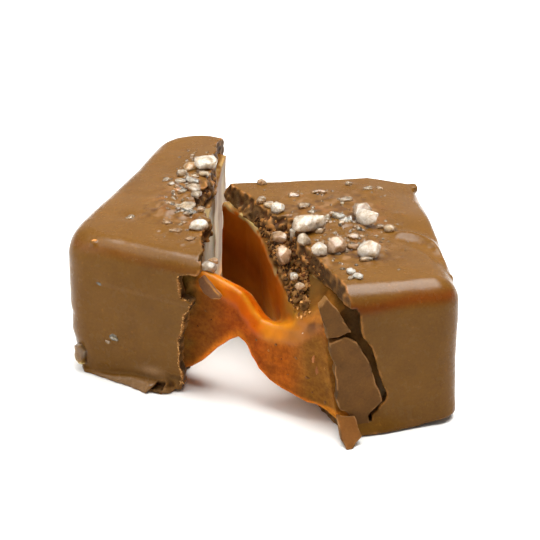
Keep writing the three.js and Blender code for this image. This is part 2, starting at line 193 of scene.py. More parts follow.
def polygon(px, py, pts):
    """Signed distance to a closed outline, negative inside."""
    px, py = np.broadcast_arrays(px, py)
    best = np.full(px.shape, 1e9, np.float32)
    sign = np.ones(px.shape, np.float32)
    n = len(pts)
    for i in range(n):
        ax, ay = pts[i]
        bx, by = pts[(i + 1) % n]
        ex, ey = bx - ax, by - ay
        wx, wy = px - ax, py - ay
        t = np.clip((wx * ex + wy * ey) / (ex * ex + ey * ey), 0, 1)
        best = np.minimum(best, (wx - ex * t) ** 2 + (wy - ey * t) ** 2)
        c1, c2, c3 = py >= ay, py < by, ex * wy > ey * wx
        sign = np.where((c1 & c2 & c3) | (~c1 & ~c2 & ~c3), -sign, sign)
    return sign * np.sqrt(best)


def beyond(a, b, line, far=60.0):
    """Field over a plane that is positive past a break line. a is the distance from the outer
    side and b runs along the line; line holds [b, a] pairs."""
    pts = [[far, line[0][0]]] + [[p[1], p[0]] for p in line] + [[far, line[-1][0]]]
    return -polygon(a, b, pts)


def sample(grid, field, p):
    """Field at points by linear interpolation between grid nodes."""
    q = (p - grid.lo) / grid.h
    lim = np.array(grid.shape) - 1.001
    q = np.clip(q, 0, lim)
    i = q.astype(np.int32)
    f = (q - i).astype(np.float32)
    nx, ny, nz = grid.shape
    flat = field.reshape(-1)
    base = (i[:, 0] * ny + i[:, 1]) * nz + i[:, 2]
    out = 0
    for dx in (0, 1):
        wx = f[:, 0] if dx else 1 - f[:, 0]
        for dy in (0, 1):
            wy = f[:, 1] if dy else 1 - f[:, 1]
            for dz in (0, 1):
                wz = f[:, 2] if dz else 1 - f[:, 2]
                out = out + wx * wy * wz * flat[base + (dx * ny + dy) * nz + dz]
    return out


def bend(grid, field, radius):
    """How far the surface turns away within a radius in mm: above 0 on outer edges, below in creases."""
    r = max(1, int(round(radius / grid.h)))
    return (blur(field, r) - field) / (r * grid.h)


def blur(field, r):
    """Box mean over 2r+1 nodes along each axis."""
    out = field.astype(np.float32)
    n = 2 * r + 1
    for axis in range(3):
        pad = [(0, 0)] * 3
        pad[axis] = (r + 1, r)
        c = np.cumsum(np.pad(out, pad, mode="edge"), axis=axis, dtype=np.float64)
        hi = [slice(None)] * 3
        lo = [slice(None)] * 3
        hi[axis] = slice(n, None)
        lo[axis] = slice(0, -n)
        out = ((c[tuple(hi)] - c[tuple(lo)]) / n).astype(np.float32)
    return out


def surface(grid, field, settle=2, smallest=60):
    """Zero surface of a field as vertices (grid coordinates in mm) and quads that face out."""
    f = field.astype(np.float32).copy()
    f[0], f[-1], f[:, 0], f[:, -1], f[:, :, 0], f[:, :, -1] = [np.maximum(x, 0.5 * grid.h) for x in
                                                               (f[0], f[-1], f[:, 0], f[:, -1], f[:, :, 0], f[:, :, -1])]
    cells = tuple(n - 1 for n in f.shape)
    inside = f < 0
    count = np.zeros(cells, np.int8)
    for dx in (0, 1):
        for dy in (0, 1):
            for dz in (0, 1):
                count += inside[dx:dx + cells[0], dy:dy + cells[1], dz:dz + cells[2]]
    active = (count > 0) & (count < 8)
    index = np.full(cells, -1, np.int64)
    total = int(active.sum())
    index[active] = np.arange(total)
    acc = np.zeros((total, 3))
    hits = np.zeros(total)
    quads = []
    for axis in range(3):
        lo = [slice(None)] * 3
        hi = [slice(None)] * 3
        lo[axis], hi[axis] = slice(0, -1), slice(1, None)
        cross = inside[tuple(lo)] != inside[tuple(hi)]
        at = np.argwhere(cross)
        a = f[tuple(lo)][cross]
        b = f[tuple(hi)][cross]
        p = at.astype(float)
        p[:, axis] += a / (a - b)
        o1, o2 = [(1, 2), (2, 0), (0, 1)][axis]
        ids = []
        for d1, d2 in ((-1, -1), (0, -1), (0, 0), (-1, 0)):
            cell = at.copy()
            cell[:, o1] += d1
            cell[:, o2] += d2
            k = index[cell[:, 0], cell[:, 1], cell[:, 2]]
            ids.append(k)
            for c in range(3):
                acc[:, c] += np.bincount(k, p[:, c], total)
            hits += np.bincount(k, minlength=total)
        q = np.stack(ids, 1)
        q[a > 0] = q[a > 0][:, ::-1]
        quads.append(q)
    quads = np.concatenate(quads)
    verts = acc / hits[:, None] * grid.h + grid.lo
    # small separate islands go
    label = np.arange(total)
    e0 = np.concatenate([quads[:, 0], quads[:, 1], quads[:, 2], quads[:, 3]])
    e1 = np.concatenate([quads[:, 1], quads[:, 2], quads[:, 3], quads[:, 0]])
    for _ in range(200):
        new = label.copy()
        np.minimum.at(new, e0, label[e1])
        np.minimum.at(new, e1, label[e0])
        new = np.minimum(new, new[new])
        new = new[new]
        if np.array_equal(new, label):
            break
        label = new
    sizes = np.bincount(label, minlength=total)
    keep = sizes[label] >= smallest
    quads = quads[keep[quads].all(1)]
    renumber = np.cumsum(keep) - 1
    verts = verts[keep]
    quads = renumber[quads]
    # settle the vertices on the surface itself
    e = 0.6 * grid.h
    for _ in range(settle):
        d = sample(grid, f, verts)
        g = np.stack([sample(grid, f, verts + np.eye(3)[k] * e) - sample(grid, f, verts - np.eye(3)[k] * e)
                      for k in range(3)], 1) / (2 * e)
        size = np.maximum((g * g).sum(1), 0.15)
        move = -(d / size)[:, None] * g
        length = np.linalg.norm(move, axis=1, keepdims=True)
        verts = verts + move * np.minimum(1, 0.45 * grid.h / np.maximum(length, 1e-9))
    return verts, quads


# ------------------------------------------------------------------ mesh helpers
def new_object(name, verts, faces, smooth=True):
    """An object from vertices in millimetres and faces of one size."""
    mesh = bpy.data.meshes.new(name)
    k = faces.shape[1]
    mesh.vertices.add(len(verts))
    mesh.vertices.foreach_set("co", (np.asarray(verts) * 0.001).astype(np.float32).ravel())
    mesh.loops.add(k * len(faces))
    mesh.loops.foreach_set("vertex_index", faces.astype(np.int32).ravel())
    mesh.polygons.add(len(faces))
    mesh.polygons.foreach_set("loop_start", np.arange(0, k * len(faces), k, dtype=np.int32))
    mesh.polygons.foreach_set("use_smooth", np.full(len(faces), smooth))
    mesh.update(calc_edges=True)
    mesh.validate()
    obj = bpy.data.objects.new(name, mesh)
    bpy.context.scene.collection.objects.link(obj)
    return obj


def coords(obj):
    co = np.zeros(len(obj.data.vertices) * 3, np.float32)
    obj.data.vertices.foreach_get("co", co)
    return co.reshape(-1, 3).astype(float) * 1000


def collapse(obj, which, most):
    """Collapses edges where which is true, until the mesh has about this many triangles."""
    tris = sum(len(p.vertices) - 2 for p in obj.data.polygons)
    if tris <= most or not which.any():
        return obj
    mod = obj.modifiers.new("thin", "DECIMATE")
    mod.ratio = most / tris
    if not which.all():
        group = obj.vertex_groups.new(name="thin")
        group.add([int(i) for i in np.nonzero(which)[0]], 1.0, "REPLACE")
        mod.vertex_group = "thin"
    mod.use_collapse_triangulate = True
    dg = bpy.context.evaluated_depsgraph_get()
    mesh = bpy.data.meshes.new_from_object(obj.evaluated_get(dg))
    obj.modifiers.clear()
    obj.vertex_groups.clear()
    old = obj.data
    obj.data = mesh
    bpy.data.meshes.remove(old)
    mesh.name = obj.name
    mesh.polygons.foreach_set("use_smooth", np.full(len(mesh.polygons), True))
    return obj


def paint(obj, colour=None, **values):
    """Per-vertex values for the materials: one colour, and plain numbers by name."""
    if colour is not None:
        a = obj.data.color_attributes.new("paint", "FLOAT_COLOR", "POINT")
        rgba = np.ones((len(obj.data.vertices), 4), np.float32)
        rgba[:, :3] = np.clip(colour, 0, 1)
        a.data.foreach_set("color", rgba.ravel())
    for name, value in values.items():
        a = obj.data.attributes.new(name, "FLOAT", "POINT")
        a.data.foreach_set("value", np.broadcast_to(value, len(obj.data.vertices)).astype(np.float32).ravel())


def srgb(r, g, b):
    c = np.array([r, g, b], float) / 255
    return np.where(c <= 0.04045, c / 12.92, ((c + 0.055) / 1.055) ** 2.4)


def mix(a, b, t):
    return a + (b - a) * np.asarray(t)[:, None]


# ------------------------------------------------------------------ chocolate
def sweet(U, V, Z, right):
    """The whole chocolate-coated square before it broke: its field, and its plan distance."""
    if right:
        near = np.clip(1 - V / 6, 0, 1.5)
        low = np.clip(1 - Z / 4, 0, 1)
        along = np.clip((U - 2.5) / 6, 0, 1)
        V = V + SPREAD * along * low * low * near
        V = V / (1 - SKEW * np.clip(1 - U / 20.7, 0, 1))
    swell = 0.0 if right else BULGE
    taper = 0.02 if right else 0.22
    inset = taper * np.clip(1 - Z / 11, 0, 1.05) ** 1.4 - swell * np.clip((Z - 0.5) / 4, 0, 1)
    half = SIDE / 2 - inset
    # the corners and the top edge are rounder in some places than in others
    if right:
        r = CORNER_R - 2.0 * step(V, 14, 22) - 0.6 * step(5 - Z, 0, 5) + 0 * U
        edge = 2.8 - 1.9 * step(V, 7.0, 13.0)
    else:
        r = CORNER_R + 1.5 * step(V, 16, 24) + 0.4 * step(9 - V, 0, 5) + 0 * U
        edge = 2.2 + 1.25 * step(4.5 - V, 0, 4) * step(5 - U, 0, 4) - 1.1 * step(V, 20, 26) * step(U, 2, 5)
    dx = np.abs(U - SIDE / 2) - (half - r)
    dy = np.abs(V - SIDE / 2) - (half - r)
    plan = np.sqrt(np.maximum(dx, 0) ** 2 + np.maximum(dy, 0) ** 2) + np.minimum(np.maximum(dx, dy), 0) - r
    top = Z - (HEIGHT + DOME * np.sin(np.clip(-plan / (SIDE / 2), 0, 1) * (math.pi / 2)))
    if right:
        top = top + 1.2 * np.clip(1 - U / 5.2, 0, 1) * step(V, 17, 25)
    body = round_and(plan, top, edge)
    lift = 0.6 * step(1 - U / 6, 0, 1) * step(1 - V / 9, 0, 1) if right else 0.0
    return round_and(body, lift - Z, FOOT_R), V, plan


def left_field(g):
    U, V, Z = g.X, g.Y, g.Z
    outer, _, plan = sweet(U, V, Z, False)
    # the coat is never quite flat: broad hollows, a step where it ran and set, small ripples
    skin = 0.10 * noise(g, 7.5, 31) + 0.035 * noise(g, 2.6, 32) + 0.010 * noise(g, 0.9, 33)
    front = step(2.5 - V, 0, 1)
    skin = skin - 0.12 * front * step(Z + 0.06 * (U - 9), 11.5, 12.3) * step(15.8 - Z, 0, 3.0) * step(U, 3.5, 6.0)
    skin = skin + 0.10 * front * np.exp(-((Z - 6.8) / 2.6) ** 2) * np.exp(-((U - 8.5) / 3.2) ** 2)
    outer = outer + skin

    def dent(u, v, z, r, depth):
        d = np.sqrt((U - u) ** 2 + (V - v) ** 2 + (Z - z) ** 2)
        return depth * np.exp(-(d / r) ** 2)

    # dents, pits and chips on the side, corner and front
    outer = outer + dent(0.4, 2.2, 6.6, 0.9, 0.42) + dent(0.1, 1.6, 5.8, 0.6, 0.3)
    outer = outer + dent(1.0, 0.9, 6.9, 0.55, 0.22) + dent(0.9, 1.0, 9.6, 0.35, 0.14) - dent(1.7, 0.2, 7.9, 0.4, 0.14)
    outer = outer + dent(3.9, 0.0, 9.3, 0.22, 0.25) + dent(4.5, 0.0, 12.0, 0.5, 0.14)
    outer = outer + dent(9.8, 4.1, 17.5, 0.45, 0.34) + dent(4.6, -0.1, 1.3, 0.42, 0.25)
    outer = outer + dent(5.2, 6.1, 17.5, 0.95, 0.2) + dent(6.2, 7.3, 17.5, 0.5, 0.12)
    outer = outer + dent(7.6, 0.0, 4.0, 0.3, 0.1) + dent(11.0, 0.0, 8.2, 0.25, 0.1)
    outer = outer - dent(3.5, 0.2, 16.6, 0.4, 0.3)
    # salt bedded just under the skin makes low lumps
    for u, v, r, up in ((9.8, 6.1, 0.7, 0.2), (11.4, 4.8, 0.8, 0.22), (13.6, 3.8, 0.7, 0.2), (13.0, 2.7, 0.5, 0.15),
                        (8.2, 9.8, 0.7, 0.2), (6.6, 11.0, 0.6, 0.18), (10.4, 8.4, 0.8, 0.2), (6.9, 14.8, 0.8, 0.2),
                        (4.9, 16.2, 0.6, 0.18), (11.9, 6.3, 0.6, 0.18), (7.4, 12.6, 0.7, 0.18)):
        outer = outer - dent(u, v, 17.35, r, up)
    crust = step(V, 6.5, 9.0) * step(23.5 - V, 0, 3.0) * step(U, 5.4, 8.4)
    outer = outer - crust * (0.10 + 0.16 * np.maximum(noise(g, 1.0, 34), 0) - 0.07 * noise(g, 0.5, 35)) * step(Z, 15.6, 16.8)

    jag = noise(g, 1.3, 36)
    fine = noise(g, 0.36, 37)
    crumb = 0.12 * jag + 0.10 * fine
    cut_top = (beyond(U[:, :, 0], V[:, :, 0], LEFT_TOP) + 0.0)[:, :, None]
    ragged = step(V, 5.0, 9.5) * (1 - 0.8 * step(V, 20.5, 22.5))
    cut_top = cut_top + crumb * (0.7 + 0.9 * ragged) - 0.22 * (17.2 - Z) * ragged * 0.6
    # a dark pocket under the plate where a lump came away
    pocket = np.sqrt(((U - 12.0) / 1.1) ** 2 + ((V - 11.2) / 1.0) ** 2 + ((Z - 16.9) / 1.2) ** 2) - 1
    cut_top = np.maximum(cut_top, -pocket * 0.9)
    cut_front = beyond(U[:, 0, :], Z[:, 0, :], LEFT_FRONT)[:, None, :] + crumb * (0.62 - 0.30 * step(Z, 11.5, 12.5))
    cut_back = beyond(U[:, 0, :], Z[:, 0, :], LEFT_BACK)[:, None, :] + 0.35 * crumb
    base_line = [[v, (l + 0.15)] for v, l, _ in LEFT_CORE]
    cut_base = beyond(U[:, :, 0], V[:, :, 0], base_line)[:, :, None] + crumb * 0.6

    uneven = 0.10 * noise(g, 2.2, 38)
    roof = (HEIGHT - ROOF) - Z + uneven
    wall = -(plan + WALL) + uneven
    base = Z - BASE + uneven
    cut_wall = np.where(V < SIDE / 2, cut_front, cut_back)
    hollow = smin(smin(roof, wall, 0.9), base, 0.9)
    shell = np.minimum(np.maximum(roof, cut_top), np.maximum(wall, cut_wall))
    shell = np.minimum(shell, np.maximum(base, cut_base))
    shell = np.maximum(shell, hollow)
    body = smax(outer, shell, 0.03)

    # a hollow in the foot beside the break, where a piece came away
    scoop = np.maximum((10.55 + 0.68 * Z - U) * 0.83, (U - 12.15 - 0.06 * Z) * 0.95)
    scoop = np.maximum(np.maximum(scoop, V - 0.15 + 0.22 * Z), Z - 2.7)
    scoop = np.maximum(scoop, np.minimum(0.38 - Z, V + 1.15))
    lip_plan = polygon(U[:, :, 0], V[:, :, 0], LIP)[:, :, None]
    high = LIP_HEIGHT * (0.55 + 0.55 * step(U, 4.0, 9.0)) + 0.5 * step(U, 10.8, 12.5) + 0.05 * noise(g, 1.5, 39)
    lip = round_and(round_and(lip_plan + 0.10 + 0.85 * np.maximum(Z - 0.3, 0) * 0.8 + 0.04 * fine, Z - high, 0.3), -Z, 0.12)
    body = smin(body, lip, 0.35)
    body = smax(body, -scoop - 0.05 * jag - 0.05 * fine, 0.06)
    # the block left beside it is rough
    block = step(U, 11.9, 12.3) * step(2.5 - Z, 0, 0.5) * step(0.6 - V, 0, 0.3)
    body = body + block * (0.07 * jag + 0.07 * fine)
    body = np.maximum(body, -Z)

    where = dict(outer=outer, cut=np.minimum(np.maximum(roof, cut_top), np.maximum(wall, cut_wall)), scoop=scoop)
    return body, where


def right_field(g):
    U, V, Z = g.X, g.Y, g.Z
    outer, Vw, plan = sweet(U, V, Z, True)
    skin = 0.08 * noise(g, 7.5, 51) + 0.028 * noise(g, 2.6, 52) + 0.008 * noise(g, 0.9, 53)
    outer = outer + skin

    def dent(u, v, z, r, depth):
        d = np.sqrt((U - u) ** 2 + (V - v) ** 2 + (Z - z) ** 2)
        return depth * np.exp(-(d / r) ** 2)

    # a pinched fold on the outer top edge, with a hollow behind it
    arc = np.sqrt(((U - 4.2) / 3.7) ** 2 + ((V - 6.4) / 6.2) ** 2)
    ahead = step(U, 5.2, 3.4) + 0 * V
    fold = np.exp(-((arc - 1.0) / 0.13) ** 2) * step(V, 4.2, 7.4) * step(U, 6.0, 4.2) * step(Z, 14.0, 16.0)
    outer = outer - 0.40 * fold
    inner = np.exp(-((arc - 0.72) / 0.17) ** 2) * step(V, 5.0, 8.0) * step(U, 5.2, 3.4) * step(Z, 14.0, 16.0)
    outer = outer + 0.20 * inner
    outer = outer + dent(1.6, 9.3, 17.3, 0.35, 0.35)
    # drawn-up point on the back outer corner, a bump on the outer edge, one on the back edge
    nub = (((U - 0.35) / 0.80) ** 4 + ((V - 25.9) / 0.60) ** 4 + ((Z - 15.72) / 0.42) ** 4) ** 0.25 - 1
    outer = smin(outer, nub * 0.5, 0.18)
    outer = outer - dent(0.35, 4.7, 15.7, 0.42, 0.36) + dent(0.3, 5.5, 15.8, 0.3, 0.2)
    outer = outer + dent(4.4, 15.3, 17.4, 0.3, 0.3) + dent(3.4, 16.8, 17.4, 0.5, 0.1)
    for u, v, r, up in ((14.3, 23.3, 0.7, 0.22), (11.3, 23.4, 0.8, 0.22), (7.6, 24.9, 0.6, 0.22), (5.8, 23.2, 0.8, 0.2),
                        (13.7, 20.0, 0.8, 0.24), (8.8, 21.0, 0.9, 0.24), (3.4, 17.2, 0.7, 0.16), (4.2, 14.6, 0.6, 0.16),
                        (9.2, 6.7, 0.8, 0.22), (7.2, 8.2, 0.5, 0.15), (11.4, 8.9, 0.6, 0.18), (12.9, 18.6, 0.7, 0.2),
                        (4.7, 9.2, 0.4, 0.1), (5.5, 6.8, 0.4, 0.1), (10.4, 21.6, 0.7, 0.16)):
        outer = outer - dent(u, v, 17.35, r, up)
    crust = step(V, 6.5, 10.0) * step(21.5 - V, 0, 4.0) * step(U, 5.5, 8.0)
    outer = outer - crust * (0.06 + 0.14 * np.maximum(noise(g, 1.0, 54), 0) - 0.08 * noise(g, 0.5, 55)) * step(Z, 15.6, 16.8)

    jag = noise(g, 1.3, 56)
    fine = noise(g, 0.36, 57)
    crumb = 0.12 * jag + 0.10 * fine
    ragged = step(V, 8.5, 12.0) * (1 - 0.6 * step(V, 19.0, 20.5))
    cut_top = beyond(U[:, :, 0], V[:, :, 0], RIGHT_TOP)[:, :, None]
    cut_top = cut_top + crumb * (0.35 + 1.3 * ragged) - 0.10 * (17.2 - Z) - 0.35 * ragged * (17.0 - Z)
    cut_top = cut_top - (0.40 - 0.18 * step(V, 22.5, 25.0)) * step(V, 17.6, 18.8) * np.clip(17.0 - Z, 0, 2.4)
    cut_front = beyond(U[:, 0, :], Z[:, 0, :], RIGHT_FRONT)[:, None, :] + crumb * 0.35
    cut_back = beyond(U[:, 0, :], Z[:, 0, :], RIGHT_BACK)[:, None, :] + 0.35 * crumb
    base_line = [[v, (l + 0.15)] for v, l, _ in RIGHT_CORE]
    cut_base = beyond(U[:, :, 0], V[:, :, 0], base_line)[:, :, None] + crumb * 0.6

    uneven = 0.10 * noise(g, 2.2, 58)
    roof = (HEIGHT - ROOF) - Z + uneven
    wall = -(plan + WALL) + uneven
    base = Z - BASE + uneven
    cut_wall = np.where(V < SIDE / 2, cut_front, cut_back)
    hollow = smin(smin(roof, wall, 0.9), base, 0.9)
    shell = np.minimum(np.maximum(roof, cut_top), np.maximum(wall, cut_wall))
    shell = np.minimum(shell, np.maximum(base, cut_base))
    shell = np.maximum(shell, hollow)
    body = smax(outer, shell, 0.03)

    # crumbled chocolate left lying on the ledge of caramel behind the plate's edge
    ledge = polygon(U[:, :, 0], V[:, :, 0], [[16.1, 5.0], [16.9, 4.8], [17.4, 6.5], [17.6, 8.5], [17.9, 12.0], [18.2, 14.5],
                                             [18.4, 18.2], [18.9, 21.5], [16.9, 21.0], [15.2, 18.5], [15.2, 12.0], [15.0, 9.5],
                                             [15.7, 6.5]])[:, :, None]
    rest_on = np.minimum(15.25, 15.15 - (27.0 * (U - 12.6) - 9.9 * (V - 1.5)) / 36.45)
    lumps = np.abs(Z - rest_on - 0.20 * noise(g, 2.0, 59)) - (0.45 + 0.12 * noise(g, 1.6, 60))
    rubble = np.maximum(ledge + 0.12, lumps) + 0.22 * noise(g, 0.75, 61) + 0.15 * noise(g, 0.4, 62) + 0.10
    for u, v, r in ((16.5, 11.7, 0.7), (16.3, 5.9, 0.8), (17.0, 15.6, 0.45), (16.1, 9.2, 0.5)):
        rubble = np.maximum(rubble, r - np.sqrt((U - u) ** 2 + (V - v) ** 2 + ((Z - 15.6) * 0.8) ** 2))
    body = smin(body, rubble, 0.10)
    body = np.maximum(body, -Z)
    where = dict(outer=outer, cut=np.minimum(np.maximum(roof, cut_top), np.maximum(wall, cut_wall)), rubble=rubble)
    return body, where


print("chocolate fields")
H = 0.135 * COARSE
left_grid = Grid((-1.3, -2.2, -0.6), (17.8, 29.9, 18.7), H)
right_grid = Grid((-1.2, -2.4, -0.6), (22.6, 29.9, 18.9), H * 1.03)
left_f, left_where = left_field(left_grid)
right_f, right_where = right_field(right_grid)


# ------------------------------------------------------------------ caramel
def core_field(grid_uvz, line, ramp):
    """Field that is negative on the kept side of a half's broken caramel face."""
    U, V, Z = grid_uvz
    low, high = interp(V, line, 1), interp(V, line, 2)
    share = np.interp(Z, [-1, 5, 10, HEIGHT + 3], [-0.05, 0.55, 0.95, 1.0]).astype(np.float32)
    face = (U - (low + (high - low) * share)) * 0.93
    if not ramp:
        return face
    a, b, c = (np.array(p, float) for p in RAMP)
    n = np.cross(b - a, c - a)
    n /= np.linalg.norm(n)
    if n[2] < 0:
        n = -n
    plane = (U - a[0]) * n[0] + (V - a[1]) * n[1] + (Z - a[2]) * n[2]
    return smax(face, plane, 0.35)


print("caramel field")
HC = 0.16 * COARSE
cg = Grid((-23.0, -18.6, -0.2), (22.6, 21.4, 16.4), HC)
xs, ys = np.meshgrid(cg.axes[0], cg.axes[1], indexing="ij")
lu, lv = (a.astype(np.float32)[:, :, None] for a in to_half(LEFT, xs, ys))
ru, rv = (a.astype(np.float32)[:, :, None] for a in to_half(RIGHT, xs, ys))
wt, ws = (a.astype(np.float32)[:, :, None] for a in to_web(xs, ys))


def hollow_box(U, V, Z, right):
    """The space inside the coat: negative inside."""
    _, _, plan = sweet(U, V, Z, right)
    return np.maximum(np.maximum(plan + WALL, Z - (HEIGHT - ROOF)), BASE - Z) - 0.12


sheet = 0.05 * noise(cg, 3.2, 71) + 0.02 * noise(cg, 1.2, 72)
core_l = np.maximum(hollow_box(lu, lv, cg.Z, False), core_field((lu, lv, cg.Z), LEFT_CORE, False) + sheet)
core_r = np.maximum(hollow_box(ru, rv, cg.Z, True), core_field((ru, rv, cg.Z), RIGHT_CORE, True) + sheet)
w_low, w_high, w_thick, w_back = (interp(wt, WEB, k) for k in (1, 2, 3, 4))
# stretch marks run along the web and down towards its ends
streak = noise(cg, (5.0, 3.2, 0.55), 73)
mid = w_back + w_thick / 2
lean = np.clip((cg.Z - (w_high - 1.5)) / 1.5, 0, 1.2)
flat = np.maximum(w_back + 0.75 * lean ** 1.4 - ws, ws - w_back - w_thick) - 0.05 * streak
crest = w_high - 0.55 * np.clip(ws - w_back - 1.0, 0, 4) ** 1.15
over = cg.Z - crest
under = w_low - cg.Z
web = round_and(round_and(flat, over, 0.35), under, 0.40)
web = smax(web, np.maximum(-4.5 - wt, wt - 20.5), 1.0)
web = web * 0.9 + 0.03 * noise(cg, 1.4, 74)
cara = smin(smin(core_l, web, 1.3), core_r, 1.6)
# a deep recess where the front wall has broken out beside the web's left end
pit = np.sqrt(((lu - 13.8) / 1.0) ** 2 + ((lv - 0.75) / 0.70) ** 2 + ((cg.Z - 13.8) / 1.3) ** 2) - 1
cara = smax(cara, -pit * 1.2, 0.35)
# only inside the sweet's own outline beyond the web's ends, and never through the coat
lw = to_half(LEFT, xs, ys)
pts = np.stack(np.broadcast_arrays(lu, lv, cg.Z), -1).reshape(-1, 3)
ok = (pts[:, 0] > -1.2) & (pts[:, 0] < 17.6) & (pts[:, 1] > -2.1) & (pts[:, 1] < 29.8)
coat = np.full(len(pts), 9.0, np.float32)
coat[ok] = sample(left_grid, left_f, pts[ok])
pts = np.stack(np.broadcast_arrays(ru, rv, cg.Z), -1).reshape(-1, 3)
ok = (pts[:, 0] > -1.1) & (pts[:, 0] < 22.4) & (pts[:, 1] > -2.3) & (pts[:, 1] < 29.8)
coat[ok] = np.minimum(coat[ok], sample(right_grid, right_f, pts[ok]))
coat = coat.reshape(cg.shape)
cara = np.maximum(cara, -coat - 0.09)
del pts, ok


# ------------------------------------------------------------------ meshes of the three bodies
print("meshes")


def body_mesh(name, grid, field, half=None):
    verts, quads = surface(grid, field, smallest=400)
    if half is not None:
        verts = to_world(half, verts)
        if half["side"] < 0:
            quads = quads[:, ::-1]
    return new_object(name, verts, quads)


left_obj = body_mesh("chocolate_left", left_grid, left_f, LEFT)
right_obj = body_mesh("chocolate_right", right_grid, right_f, RIGHT)
cara_obj = body_mesh("caramel_body", cg, cara)
MOST = 188000


def thin(obj, hidden_at, plain_at):
    """First the surface that nothing shows, down to a few per cent, then the plain skin if need be."""
    hidden = hidden_at(coords(obj))
    tris = sum(len(p.vertices) - 2 for p in obj.data.polygons)
    collapse(obj, hidden, int(tris * (1 - 0.95 * hidden.mean())))
    between_ = len(obj.data.polygons)
    collapse(obj, plain_at(coords(obj)), MOST)
    collapse(obj, np.ones(len(obj.data.vertices), bool), MOST + 6000)
    print(obj.name, tris, between_, len(obj.data.polygons))


def plain_chocolate(half, grid, where):
    def test(p):
        u, v = to_half(half, p[:, 0], p[:, 1])
        q = np.stack([u, v, p[:, 2]], 1)
        return (np.abs(sample(grid, where["outer"], q)) < 0.06) & (sample(grid, where["cut"], q) < -0.7) | (sample(cg, cara, p) < 0)
    return test


thin(left_obj, lambda p: sample(cg, cara, p) < -0.02, plain_chocolate(LEFT, left_grid, left_where))
thin(right_obj, lambda p: sample(cg, cara, p) < -0.02, plain_chocolate(RIGHT, right_grid, right_where))
thin(cara_obj, lambda p: sample(cg, coat, p) < 0.02, lambda p: np.ones(len(p), bool))

# ------------------------------------------------------------------ paint of the bodies
MILK = np.array([0.130, 0.056, 0.0080])
CRUMB_DARK = np.array([0.056, 0.026, 0.007])
CRUMB_LIGHT = np.array([0.195, 0.092, 0.026])
GOLD = np.array([0.32, 0.130, 0.030])
RUST = np.array([0.075, 0.022, 0.004])


